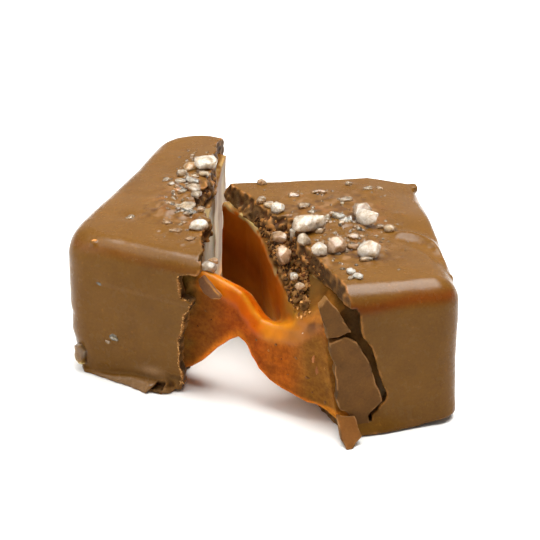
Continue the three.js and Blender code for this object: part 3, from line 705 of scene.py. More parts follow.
def paint_choc(obj, half, grid, field, where, seed):
    co = coords(obj)
    u, v = to_half(half, co[:, 0], co[:, 1])
    z = co[:, 2]
    p = np.stack([u, v, z], 1)
    curve = sample(grid, bend(grid, field, 0.28), p)
    skin_d = sample(grid, where["outer"], p)
    near = step(-np.abs(sample(grid, where["cut"], p)), -0.5, -0.05)
    broken = step(-skin_d, 0.05, 0.16)
    if "scoop" in where:
        hollow_ = step(-sample(grid, where["scoop"], p), -0.12, 0.0)
        broken = np.maximum(broken, hollow_)
        broken = np.maximum(broken, 0.6 * step(u, 11.9, 12.3) * step(2.4 - z, 0, 0.4) * step(0.5 - v, 0, 0.3))
    if "rubble" in where:
        broken = np.maximum(broken, step(-sample(grid, where["rubble"], p), -0.12, -0.02) * step(16.9 - z, 0, 0.5))
    blotch = sample(grid, noise(grid, 3.0, seed), p)
    small = sample(grid, noise(grid, 0.8, seed + 1), p)
    tiny = sample(grid, noise(grid, 0.4, seed + 2), p)
    n_ = len(co)
    base = np.broadcast_to(MILK, (n_, 3)) * (1 + 0.025 * blotch + 0.012 * small)[:, None]
    # sugar and salt bedded in the skin mottle it: tawny and dark patches of half a millimetre
    grainy = sample(grid, noise(grid, 0.40, seed + 3), p)
    if half is RIGHT:
        bed = step(v, 4.5, 8.0) * step(25.0 - v, 0, 4.0) * step(u, 3.5, 7.0) * step(z, 16.4, 17.0)
    else:
        bed = step(v, 4.5, 8.5) * step(23.0 - v, 0, 3.0) * step(u, 4.6, 7.8) * step(z, 16.2, 16.9)
    bed = bed * np.clip(0.65 + 0.45 * blotch, 0, 1)
    base = mix(base, np.broadcast_to(np.array([0.25, 0.135, 0.062]), (n_, 3)), 0.60 * bed * step(grainy, 0.5, 1.2))
    base = mix(base, np.broadcast_to(np.array([0.060, 0.022, 0.005]), (n_, 3)), 0.75 * bed * step(-grainy, 0.4, 1.2))
    base = mix(base, np.broadcast_to(np.array([0.21, 0.078, 0.018]), (n_, 3)), 0.45 * bed * step(small, 0.7, 1.5))
    # painted shade: a warmer, darker band where the top edge turns into the front and its reflection fades
    band = np.exp(-((z - (15.75 if half is RIGHT else 15.9) - 0.12 * blotch) / (0.65 if half is RIGHT else 0.5)) ** 2) * step(1.9 - v, 0, 0.9) * (0.95 if half is RIGHT else 0.35)
    base = mix(base, base * np.array([1.00, 0.55, 0.30]), band)
    # broken places: crumb tones vary at random, with painted shade: darker in hollows, lighter on ridges
    crumb = mix(np.broadcast_to(CRUMB_DARK, (n_, 3)), np.broadcast_to(CRUMB_LIGHT, (n_, 3)),
                np.clip(0.22 + 0.22 * small + 0.22 * tiny + 2.0 * curve, 0, 1))
    colour = mix(base, crumb, broken)
    # painted shade: the hollow of the scoop painted a little darker
    if "scoop" in where:
        colour = colour * (1 - 0.15 * hollow_)[:, None]
    rim = near * step(curve, 0.10, 0.24) * step(0.45 * tiny + 0.25 * small, -0.25, 0.25)
    colour = mix(colour, np.broadcast_to(GOLD, (n_, 3)), 0.70 * np.clip(rim, 0, 1))
    # painted shade: the creases of broken and cut places darkened
    crease = step(-curve, 0.06, 0.25) * np.maximum(broken, near)
    colour = mix(colour, np.broadcast_to(RUST, (n_, 3)), 0.6 * crease)
    shine = 0.16 * step(z, 14.9, 16.0) * (1 - 0.7 * broken)
    if half is RIGHT:
        shine = shine * (1 - 0.75 * np.exp(-(((u - 2.6) / 2.4) ** 2 + ((v - 13.4) / 2.6) ** 2)))
    if half is LEFT:
        # painted light: the lip of the foot painted lighter where it faces up, with more gloss
        lip_ = step(-v, 0.15, 0.5) * step(2.9 - z, 0, 0.4) * (1 - broken)
        colour = mix(colour, np.broadcast_to(np.array([0.215, 0.115, 0.045]), (n_, 3)), 0.6 * lip_)
        shine = np.maximum(shine, 0.16 * lip_)
        # painted light: a pale patch where the crease above the lip catches the light
        painted_light_patch = np.exp(-(((u - 10.5) / 1.5) ** 2 + ((z - 1.95) / 0.7) ** 2)) * step(1.2 - v, 0, 0.4) * (1 - broken)
        colour = mix(colour, np.broadcast_to(np.array([0.30, 0.175, 0.085]), (n_, 3)), 0.75 * painted_light_patch)
    paint(obj, colour, broken=broken, rough=0.26 + 0.33 * broken + 0.06 * bed, sheen=shine)
    print(obj.name, "curve", np.percentile(curve, [1, 10, 50, 90, 99]).round(3))


paint_choc(left_obj, LEFT, left_grid, left_f, left_where, 101)
paint_choc(right_obj, RIGHT, right_grid, right_f, right_where, 111)

co = coords(cara_obj)
t, s = to_web(co[:, 0], co[:, 1])
ru_, rv_ = to_half(RIGHT, co[:, 0], co[:, 1])
lu_, lv_ = to_half(LEFT, co[:, 0], co[:, 1])
z = co[:, 2]
lo_, hi_ = interp(t, WEB, 1), interp(t, WEB, 2)
curve = sample(cg, bend(cg, cara, 0.5), co)
streaks = sample(cg, noise(cg, (4.0, 2.6, 0.4), 121), co)
mottle = sample(cg, noise(cg, 2.4, 122), co)
grain = sample(cg, noise(cg, 0.55, 123), co)
n = len(co)


def tone(*linear):
    return np.broadcast_to(np.array(linear), (n, 3))


eps_ = 0.15
normal = np.stack([sample(cg, cara, co + np.eye(3)[k] * eps_) - sample(cg, cara, co - np.eye(3)[k] * eps_) for k in range(3)], 1)
normal /= np.maximum(np.linalg.norm(normal, axis=1, keepdims=True), 1e-6)
up = normal[:, 2]
# the right half's broken face, above the web's top edge
right_face = step(-normal[:, 0] * 0.985 - normal[:, 1] * 0.173, 0.35, 0.65) * step(z, hi_ + 0.2, hi_ + 1.0) * step(s, 0.4, 1.2)
inner = np.maximum(step(s, 1.6, 3.4), right_face)
on_web = step(t, 1.2, 2.4) * step(18.0 - t, 0, 1.2)
col = tone(0.335, 0.074, 0.003)
col = mix(col, tone(0.52, 0.185, 0.020), step(11.0 - z, 0, 5.0) * 0.85)
col = mix(col, tone(0.38, 0.150, 0.034), step(6.5 - z, 0, 3.5) * 0.7)
col = mix(col, tone(0.16, 0.026, 0.001), step(8.0 - t, 0, 4.0) * step(15.0 - z, 0, 5.0) * 0.8)
col = mix(col, tone(0.225, 0.100, 0.014), step(t, 8.8, 11.6) * 0.92)
on_right_top = step(up, 0.35, 0.75) * step(z, 10.5, 13.0) * step(s, 0.5, 2.0)
col = mix(col, tone(0.105, 0.050, 0.012), on_right_top * 0.9)
# the left half's broken face: olive and darker under the plate, as painted shade; pale grey and streaked below, as a
# painted reflection of the bright surroundings
down = sample(cg, noise(cg, (0.9, 0.9, 7.0), 124), co)
fine_ = sample(cg, noise(cg, (0.5, 0.5, 5.0), 126), co)
pale_ = mix(tone(0.43, 0.335, 0.19), tone(0.43, 0.32, 0.17), step(lv_, 7.0, 12.0))
grey = mix(tone(0.24, 0.175, 0.085), pale_, step(14.7 - z + 0.25 * down, 0.2, 1.6))
grey = mix(grey, tone(0.20, 0.13, 0.060), 0.45 * step(down + 0.5 * fine_, 0.6, 1.3))
# painted highlight: the light streaks on the lower part
grey = mix(grey, tone(0.52, 0.44, 0.29), 0.5 * step(-down + 0.3 * fine_, 0.6, 1.4) * step(13.9 - z, 0, 1.0))
grey = mix(grey, tone(0.17, 0.085, 0.028), np.maximum(step(lv_, 14.0, 17.0) * step(z, 11.0, 13.5), step(lv_, 18.5, 21.5)) * np.clip(0.75 + 0.3 * down, 0, 1))
grey = mix(grey, tone(0.60, 0.24, 0.035), step(4.5 - z, 0, 3.5))
reach_l = lu_ - interp(lv_, LEFT_CORE, 2)
reach_r = ru_ - interp(rv_, RIGHT_CORE, 2)
to_right = normal[:, 0] * 0.915 - normal[:, 1] * 0.404
to_left = -normal[:, 0] * 0.985 - normal[:, 1] * 0.173
left_side = np.clip(step(reach_r - reach_l, -0.1, 0.1) * (1 - step(to_left, 0.2, 0.5)) + step(to_right, 0.15, 0.4) * step(s, 3.0, 4.5), 0, 1)
# painted highlight: a lighter line on rounded rims above the web's back
rim_line = step(curve, 0.07, 0.17) * step(z, 11.0, 12.5) * step(s, 2.0, 4.0) * step(grain, -1.2, 0.2) * (1 - left_side)
col = mix(col, tone(0.36, 0.25, 0.10), rim_line * 0.8 * step(15.5 - t, 0, 1.5))
col = mix(col, grey, step(s, 2.0, 4.0) * left_side)
front = mix(tone(0.165, 0.052, 0.005), tone(0.245, 0.051, 0.003), step(t, 2.4, 6.2))
front = mix(front, tone(0.255, 0.064, 0.004), step(t, 8.8, 11.0))
front = mix(front, tone(0.178, 0.074, 0.011), step(t, 12.5, 16.0))
front = mix(front, tone(0.20, 0.112, 0.026), step(2.4 - t, 0, 2.4) * step(z, 8.5, 11.5) * 0.9)
front = mix(front, tone(0.100, 0.052, 0.007), step(1.5 - t + 0.3 * streaks, 0, 2.0) * 0.8)
# painted glow: the web's lower edge painted bright orange, as if lit through
front = mix(front, tone(0.48, 0.140, 0.008), step(lo_ + 1.0 + 0.10 * t - z, 0, 1.6) * step(9.0 - t, 0, 2) * 0.85)
front = mix(front, tone(0.46, 0.165, 0.014), step(lo_ + 0.55 - z, 0, 0.5) * step(t, 7.0, 8.5) * 0.8)
dusty = 1 - inner
front = front * np.array([1.10, 1.06, 1.0])
col = mix(col, front, dusty)
# painted glow: the drawn-out top edge is painted orange as if light came through it, brightest along its crest
band = step(z, hi_ - 2.3, hi_ - 1.1) * (1 - step(s, 2.0, 3.4)) * on_web * (1 - right_face)
glow = mix(tone(0.56, 0.150, 0.003), tone(0.40, 0.072, 0.001), step(t, 3.0, 6.5))
glow = mix(glow, tone(0.43, 0.135, 0.004), step(t, 8.5, 10.5))
glow = mix(glow, tone(0.27, 0.088, 0.007), step(t, 11.8, 13.6))
col = mix(col, glow, band)
# painted highlight: a brighter line along the crest
crest = step(z, hi_ - 0.50, hi_ - 0.12) * np.exp(-((s - 0.95) / 0.45) ** 2) * on_web
col = mix(col, tone(0.40, 0.145, 0.006), crest * 0.85 * step(14.5 - t, 0, 1.5))
# painted glow: the rounded lower edge of the web painted orange
under_edge = step(curve, 0.06, 0.20) * on_web * step(lo_ + 2.5 - z, 0, 2.0)
col = mix(col, tone(0.50, 0.130, 0.010), 0.6 * under_edge)
# streaked, dusty ramp up to the right half's plate, and painted shade in the gap behind the loose chips
on_ramp = step(t, 14.0, 16.5) * step(z, 10.5, 12.5)
across = sample(cg, noise(cg, (0.45, 2.0, 2.0), 125), co)
rampc = mix(tone(0.075, 0.027, 0.0035), tone(0.235, 0.086, 0.011), np.clip(0.45 + 0.45 * across + 0.25 * grain, 0, 1))
rampc = mix(rampc, tone(0.26, 0.075, 0.008), 0.7 * step(13.6 - z, 0, 1.8) * step(3.2 - rv_, 0, 1.5))
rampc = mix(rampc, tone(0.050, 0.021, 0.003), step(14.2 - ru_, 0, 1.2))
col = mix(col, rampc, 0.85 * on_ramp)
gap = step(13.0 - ru_, 0, 1.2) * step(4.0 - rv_, 0, 1.5)
col = mix(col, tone(0.085, 0.040, 0.010), 0.85 * gap)
col = col * (1 + 0.03 * streaks + 0.05 * mottle + 0.06 * dusty * grain)[:, None]
dull = np.clip(dusty * (1 - band) + 0.6 * on_ramp, 0, 1)
matt = inner * (1 - band) * (1 - crest)
wet = left_side * step(s, 2.0, 4.0) * (1 - step(lv_, 7.5, 12.5))
paint(cara_obj, col, rough=0.30 + 0.20 * dull + 0.16 * (1 - band) * (1 - 0.8 * wet), dusty=dull, sheen=np.clip(0.05 + 0.09 * np.maximum(band, crest) - 0.04 * matt * (1 - left_side) + 0.17 * wet * step(14.9 - z, 0, 1.2), 0.0, 0.40))


# ------------------------------------------------------------------ chips
def chip_mesh(name, outline, thick, x, z, swing=0.0, lean=0.0, out=0.0, seed=1, h=0.10,
              shade=(0.112, 0.046, 0.008)):
    """A broken slab of the front wall. Its outline lies in the wall as [from the outer side, height]."""
    pts = np.array([[-u, q] for u, q in outline], float)
    lo, hi = pts.min(0) - 0.5, pts.max(0) + 0.5
    g = Grid((lo[0], -0.5, lo[1]), (hi[0], thick + 0.5, hi[1]), h * COARSE)
    jag = 0.07 * noise(g, 0.9, seed) + 0.04 * noise(g, 0.4, seed + 1)
    plan = polygon(g.X[:, 0, :], g.Z[:, 0, :], pts)[:, None, :] + jag
    warp = 0.10 * noise(g, (4.5, 9.0, 4.5), seed + 2) + 0.015 * noise(g, 0.9, seed + 3)
    slab = np.maximum(-g.Y, g.Y - thick - 0.12 * noise(g, 1.2, seed + 4)) + warp * np.where(g.Y < thick / 2, 1, -1)
    field = round_and(plan + 0.12 * (g.Y / thick - 0.2), slab, 0.05)
    cl, sl = math.cos(math.radians(-lean)), math.sin(math.radians(-lean))
    cs, ss = math.cos(math.radians(swing)), math.sin(math.radians(swing))
    rx = np.array([[1, 0, 0], [0, cl, -sl], [0, sl, cl]])
    rz = np.array([[cs, -ss, 0], [ss, cs, 0], [0, 0, 1]])
    turn = rz @ rx

    def place(p):
        q = (p - np.array([x, 0, 0])) @ turn.T + np.array([x, -out, z])
        return q

    height = g.X * turn[2, 0] - x * turn[2, 0] + g.Y * turn[2, 1] + g.Z * turn[2, 2] + z
    field = np.maximum(field, -height + 0.01)
    verts, quads = surface(g, field, smallest=80)
    q = place(verts)
    q[:, 0] = -q[:, 0]
    obj = new_object(name, to_world(RIGHT, q), quads)
    side = sample(g, np.broadcast_to(plan, g.shape), verts)
    depth = verts[:, 1]
    curve = sample(g, bend(g, field, 0.11), verts)
    small = sample(g, noise(g, 0.7, seed + 5), verts)
    broken = np.clip(step(side, -0.16, -0.02) + step(depth, 0.35, 0.55), 0, 1)
    m = len(verts)
    skin = np.broadcast_to(np.array(shade), (m, 3)) * (1 + 0.05 * small)[:, None]
    edge = mix(np.broadcast_to(CRUMB_DARK, (m, 3)), np.broadcast_to(CRUMB_LIGHT, (m, 3)),
               np.clip(0.5 + 0.3 * small, 0, 1))
    c = mix(skin, edge, broken)
    tiny = sample(g, noise(g, 0.3, seed + 6), verts)
    c = mix(c, np.broadcast_to(np.array([0.30, 0.140, 0.050]), (m, 3)),
            0.7 * step(curve, 0.10, 0.22) * step(0.6 - depth, 0, 0.4) * step(0.6 * small + 0.6 * tiny, -0.5, 0.5))
    paint(obj, c, broken=broken, rough=0.42 + 0.15 * broken)
    return obj


print("chips")
chip_lower = chip_mesh("chip_front_lower", CHIP_LOWER, CHIP, x=-9.6, z=0.0, swing=4.5, out=0.12, seed=201)
chip_upper = chip_mesh("chip_front_upper", CHIP_UPPER, CHIP, x=-12.6, z=0.0, swing=5.0, out=0.3, seed=211)
chip_tip = chip_mesh("chip_front_tip", CHIP_TIP, 0.8, x=-13.2, z=3.35, swing=4.5, lean=40, out=0.55, seed=221,
                     shade=(0.165, 0.062, 0.013))


def flake_mesh():
    pts = np.array(FLAKE, float)
    lo, hi = pts.min(0) - 0.5, pts.max(0) + 0.5
    g = Grid((lo[0], -0.6, lo[1]), (hi[0], 0.6, hi[1]), 0.09 * COARSE)
    plan = polygon(g.X[:, 0, :], g.Z[:, 0, :], pts)[:, None, :] + 0.05 * noise(g, 0.7, 231) + 0.03 * noise(g, 0.35, 232)
    slab = np.abs(g.Y + 0.06 * noise(g, (2.5, 9, 2.5), 233)) - 0.25
    field = round_and(plan, slab, 0.08)
    verts, quads = surface(g, field, smallest=80)
    w = np.array([from_web(a, b - 0.30 + 0.35 * max(0.0, (c - 13.0) / 1.6), c) for a, b, c in verts])
    obj = new_object("chocolate_flake", w, quads)
    curve = sample(g, bend(g, field, 0.1), verts)
    small = sample(g, noise(g, 0.6, 234), verts)
    side = sample(g, np.broadcast_to(plan, g.shape), verts)
    m = len(verts)
    c = np.broadcast_to(np.array([0.135, 0.056, 0.021]), (m, 3)) * (1 + 0.08 * small)[:, None]
    c = mix(c, np.broadcast_to(np.array([0.42, 0.18, 0.035]), (m, 3)),
            0.85 * step(curve, 0.09, 0.2) * (0.25 + 0.75 * step(verts[:, 0], 3.4, 4.6)) * step(small, -1.0, 0.4))
    paint(obj, c, broken=step(side, -0.1, 0.0), rough=0.45)
    return obj


flake = flake_mesh()


# ------------------------------------------------------------------ salt
def crystal(size, seed, facets=14, cells=20, soft=0.015, rough=0.02, square=5.0, low=0.74):
    """One grain of coarse salt about the origin, longest along x: vertices in mm, quads."""
    rng = np.random.default_rng(seed)
    a, b, c = size
    h = max(a, b, c) * 2.3 / cells
    g = Grid((-a * 1.12 - h, -b * 1.12 - h, -c * 1.12 - h), (a * 1.12 + h, b * 1.12 + h, c * 1.12 + h), h)
    e = square
    shape = (np.abs(g.X / a) ** e + np.abs(g.Y / b) ** e + np.abs(g.Z / c) ** e) ** (1 / e)
    field = (shape - 1) * min(a, b, c)
    for i in range(facets):
        # directions spread evenly, then shaken
        zz = 1 - 2 * (i + 0.5) / facets
        ph = i * 2.399963 + rng.uniform(-0.7, 0.7)
        zz = np.clip(zz + rng.uniform(-0.25, 0.25), -0.95, 0.95)
        n = np.array([math.sqrt(1 - zz * zz) * math.cos(ph), math.sqrt(1 - zz * zz) * math.sin(ph), zz])
        n = n / np.array([a, b, c])
        off = rng.uniform(low, 0.97)
        size_n = np.linalg.norm(n)
        field = smax(field, (g.X * n[0] + g.Y * n[1] + g.Z * n[2] - off) / size_n, soft)
    field = field + rough * noise(g, max(0.30, 2.4 * h), seed + 7) + rough * 0.6 * noise(g, max(0.13, 1.3 * h), seed + 8)
    return surface(g, field, settle=2, smallest=20)


def turned(verts, yaw, pitch=0.0, roll=0.0):
    cy, sy = math.cos(yaw), math.sin(yaw)
    cp, sp = math.cos(pitch), math.sin(pitch)
    cr, sr = math.cos(roll), math.sin(roll)
    rz = np.array([[cy, -sy, 0], [sy, cy, 0], [0, 0, 1]])
    ry = np.array([[cp, 0, sp], [0, 1, 0], [-sp, 0, cp]])
    rx = np.array([[1, 0, 0], [0, cr, -sr], [0, sr, cr]])
    return verts @ (rz @ ry @ rx).T


def join(name, parts, smooth=True):
    """One object from many small meshes: (vertices, faces, colour, extra values)."""
    verts, faces, colours, extra = [], [], [], {}
    at = 0
    for v, f, c, e in parts:
        verts.append(v)
        faces.append(f + at)
        at += len(v)
        colours.append(np.broadcast_to(c, (len(v), 3)))
        for k, x in e.items():
            extra.setdefault(k, []).append(np.broadcast_to(x, len(v)))
    obj = new_object(name, np.concatenate(verts), np.concatenate(faces), smooth)
    paint(obj, np.concatenate(colours), **{k: np.concatenate(x) for k, x in extra.items()})
    return obj


def top_height(half, grid, field, u, v, start=18.4, floor=13.0):
    """Height of the chocolate's surface above a point of a half."""
    zs = np.arange(start, floor, -0.05)
    d = sample(grid, field, np.stack([np.full_like(zs, u), np.full_like(zs, v), zs], 1))
    hit = np.nonzero(d < 0)[0]
    return zs[hit[0]] if len(hit) else floor


WHITE, CREAM, PINK = np.array([0.41, 0.36, 0.30]), np.array([0.37, 0.245, 0.140]), np.array([0.30, 0.172, 0.085])
GREY, TAN, BROWN = np.array([0.235, 0.148, 0.078]), np.array([0.24, 0.115, 0.037]), np.array([0.13, 0.054, 0.016])
BLUE = np.array([0.31, 0.235, 0.160])


def grain_on(parts, half, u, v, size, yaw, tint, clear, sink=0.35, pitch=0.0, roll=0.0, seed=0, lift=0.0,
             facets=12, cells=17, soft=0.015, z=None, rough=0.012, low=0.72):
    """Puts one grain on a half's top; yaw is in the part's frame, in degrees."""
    grid, field = (left_grid, left_f) if half is LEFT else (right_grid, right_f)
    vtx, quads = crystal(size, seed, facets=facets, cells=max(9, int(cells / COARSE)), soft=soft, rough=rough, low=low)
    flat_ = vtx
    vtx = turned(vtx, math.radians(yaw), math.radians(pitch), math.radians(roll))
    ground = top_height(half, grid, field, u, v) if z is None else z
    centre = to_world(half, np.array([[u, v, 0.0]]))[0]
    bottom = -vtx[:, 2].min()
    centre[2] = ground + bottom * (1 - 2 * sink) + lift
    pale = np.array([0.62, 0.555, 0.46])
    # cloudy inside; in patches, at its thin rims and near its foot the chocolate colour under it is painted in,
    # standing for light seen through the grain
    wave = np.random.default_rng(seed + 11)
    k, ph = wave.normal(0, 1, (4, 3)) * 3.4 / max(size), wave.uniform(0, 6.3, 4)
    cloud_ = np.sin(vtx @ k.T + ph).mean(1)
    under_ = np.array([0.165, 0.078, 0.030])
    shade_ = (tint + (pale - tint) * clear * 0.4) * (1 + 0.30 * cloud_)[:, None]
    above = (vtx[:, 2] + centre[2] - ground) / (1.1 * size[2])
    thin_ = step(np.hypot(*(flat_[:, :2] / np.array([[size[0], size[1]]])).T), 0.72, 1.02)
    through = 0.55 * step(0.75 - above, 0, 0.75) + (0.10 + 0.6 * clear) * step(cloud_, 0.10, 0.5) + (0.12 + 0.55 * clear) * thin_
    colour = mix(shade_, np.broadcast_to(under_, (len(vtx), 3)), np.clip(through, 0, 0.8))
    parts.append((vtx + centre, quads, colour, dict(clear=np.clip(clear * (1 + 0.9 * cloud_), 0, 1))))


print("salt")
salt = []
# right half: the grains that stand out, from the back edge round to the front
R = RIGHT
for args in (
    dict(u=17.2, v=27.0, size=(0.55, 0.5, 0.42), yaw=10, tint=TAN, clear=0.45, sink=0.30, seed=301),
    dict(u=18.1, v=22.5, size=(0.62, 0.5, 0.38), yaw=40, tint=GREY, clear=0.5, sink=0.2, seed=302),
    dict(u=17.25, v=21.2, size=(0.8, 0.5, 0.36), yaw=-20, tint=CREAM, clear=0.35, sink=0.15, seed=303, roll=12),
    dict(u=16.6, v=20.0, size=(0.95, 0.85, 0.55), yaw=-30, tint=WHITE, clear=0.15, sink=0.12, seed=304, soft=0.08, cells=21, facets=18, roll=20),
    dict(u=14.1, v=14.9, size=(2.0, 1.05, 0.85), yaw=17, tint=WHITE, clear=0.08, sink=0.06, seed=305, facets=14, soft=0.10, cells=44, roll=38, rough=0.022, low=0.86),
    dict(u=15.7, v=15.2, size=(0.5, 0.5, 0.7), yaw=5, tint=WHITE, clear=0.2, sink=0.2, seed=306),
    dict(u=15.25, v=11.75, size=(0.75, 0.75, 0.5), yaw=30, tint=BLUE, clear=0.55, sink=0.15, seed=307, roll=25),
    dict(u=14.0, v=9.2, size=(0.92, 0.85, 0.62), yaw=10, tint=WHITE, clear=0.15, sink=0.10, seed=308, soft=0.06, facets=14, cells=21, roll=30),
    dict(u=12.0, v=9.4, size=(1.2, 1.0, 0.60), yaw=62, tint=PINK, clear=0.45, sink=0.08, seed=309, facets=11, cells=23, roll=8, pitch=-24, low=0.80),
    dict(u=8.85, v=7.75, size=(1.35, 1.05, 0.55), yaw=-38, tint=WHITE, clear=0.15, sink=0.06, seed=310, facets=10, cells=23, roll=34, low=0.80),
    dict(u=7.7, v=17.3, size=(1.15, 0.9, 0.42), yaw=20, tint=GREY, clear=0.65, sink=0.08, seed=311, facets=10, cells=21, roll=34, low=0.80),
    dict(u=7.6, v=15.0, size=(1.35, 1.0, 0.45), yaw=-35, tint=WHITE, clear=0.10, sink=0.05, seed=312, facets=10, cells=23, roll=42, lift=0.12, low=0.80),
    dict(u=5.3, v=13.6, size=(0.68, 0.6, 0.42), yaw=0, tint=CREAM, clear=0.4, sink=0.2, seed=313, roll=15),
    dict(u=6.3, v=14.4, size=(0.5, 0.42, 0.3), yaw=35, tint=TAN, clear=0.5, sink=0.4, seed=314),
    dict(u=11.35, v=4.5, size=(0.5, 0.45, 0.34), yaw=20, tint=WHITE, clear=0.4, sink=0.2, seed=315, roll=20),
    dict(u=10.85, v=3.4, size=(0.72, 0.45, 0.32), yaw=-35, tint=WHITE, clear=0.45, sink=0.2, seed=316, roll=15),
    dict(u=11.65, v=3.4, size=(0.4, 0.4, 0.26), yaw=0, tint=GREY, clear=0.6, sink=0.4, seed=317),
    dict(u=9.3, v=6.8, size=(0.85, 0.55, 0.34), yaw=-10, tint=GREY, clear=0.40, sink=0.45, seed=318),
    dict(u=10.3, v=17.2, size=(0.75, 0.6, 0.4), yaw=-20, tint=WHITE, clear=0.55, sink=0.25, seed=319, rough=0.05),
    dict(u=9.6, v=16.2, size=(0.75, 0.55, 0.36), yaw=25, tint=WHITE, clear=0.35, sink=0.2, seed=320, rough=0.05, roll=15),
    dict(u=10.9, v=17.9, size=(0.55, 0.5, 0.34), yaw=60, tint=GREY, clear=0.40, sink=0.3, seed=321, rough=0.05),
    dict(u=11.6, v=16.9, size=(0.5, 0.45, 0.3), yaw=10, tint=CREAM, clear=0.7, sink=0.4, seed=329, rough=0.04),
    dict(u=8.8, v=20.9, size=(0.8, 0.55, 0.34), yaw=10, tint=GREY, clear=0.40, sink=0.5, seed=322),
    dict(u=14.3, v=23.2, size=(0.7, 0.5, 0.30), yaw=0, tint=TAN, clear=0.30, sink=0.6, seed=323),
    dict(u=13.7, v=20.0, size=(0.7, 0.6, 0.34), yaw=0, tint=GREY, clear=0.40, sink=0.5, seed=324),
    dict(u=11.3, v=23.4, size=(0.95, 0.5, 0.30), yaw=0, tint=TAN, clear=0.30, sink=0.55, seed=325),
    dict(u=7.7, v=24.8, size=(0.4, 0.35, 0.26), yaw=0, tint=GREY, clear=0.40, sink=0.4, seed=326),
    dict(u=5.8, v=23.2, size=(0.55, 0.35, 0.26), yaw=20, tint=GREY, clear=0.40, sink=0.45, seed=327),
    dict(u=4.4, v=23.6, size=(0.45, 0.3, 0.24), yaw=-20, tint=TAN, clear=0.30, sink=0.45, seed=328),
    dict(u=13.0, v=18.6, size=(0.5, 0.4, 0.26), yaw=20, tint=GREY, clear=0.40, sink=0.5, seed=335),
    dict(u=10.1, v=9.6, size=(0.75, 0.6, 0.34), yaw=15, tint=TAN, clear=0.30, sink=0.45, seed=336),
    dict(u=9.6, v=12.2, size=(0.8, 0.6, 0.34), yaw=-25, tint=TAN, clear=0.30, sink=0.45, seed=337),
    dict(u=12.2, v=8.8, size=(0.7, 0.5, 0.30), yaw=0, tint=TAN, clear=0.30, sink=0.5, seed=338),
    dict(u=13.0, v=14.2, size=(0.7, 0.5, 0.34), yaw=40, tint=TAN, clear=0.30, sink=0.4, seed=339),
    # on the ledge, under and behind the plate's edge
    dict(u=17.1, v=16.0, size=(0.9, 0.85, 0.75), yaw=0, tint=PINK, clear=0.45, z=15.5, sink=0.1, seed=330, roll=30, cells=20),
    dict(u=17.3, v=12.1, size=(0.9, 1.1, 0.9), yaw=12, tint=PINK, clear=0.40, z=15.35, sink=0.1, seed=331, cells=21, roll=36),
    dict(u=17.9, v=18.4, size=(0.5, 0.5, 0.4), yaw=25, tint=WHITE, clear=0.6, z=15.2, sink=0.1, seed=332),
    dict(u=16.9, v=8.4, size=(0.45, 0.5, 0.4), yaw=0, tint=WHITE, clear=0.6, z=15.2, sink=0.2, seed=333),
    dict(u=16.6, v=6.6, size=(0.5, 0.55, 0.45), yaw=40, tint=GREY, clear=0.40, z=15.0, sink=0.2, seed=334),
    dict(u=17.2, v=16.0, size=(0.5, 0.45, 0.35), yaw=40, tint=GREY, clear=0.40, z=15.3, sink=0.2, seed=340),
):
    grain_on(salt, R, **args)
L = LEFT
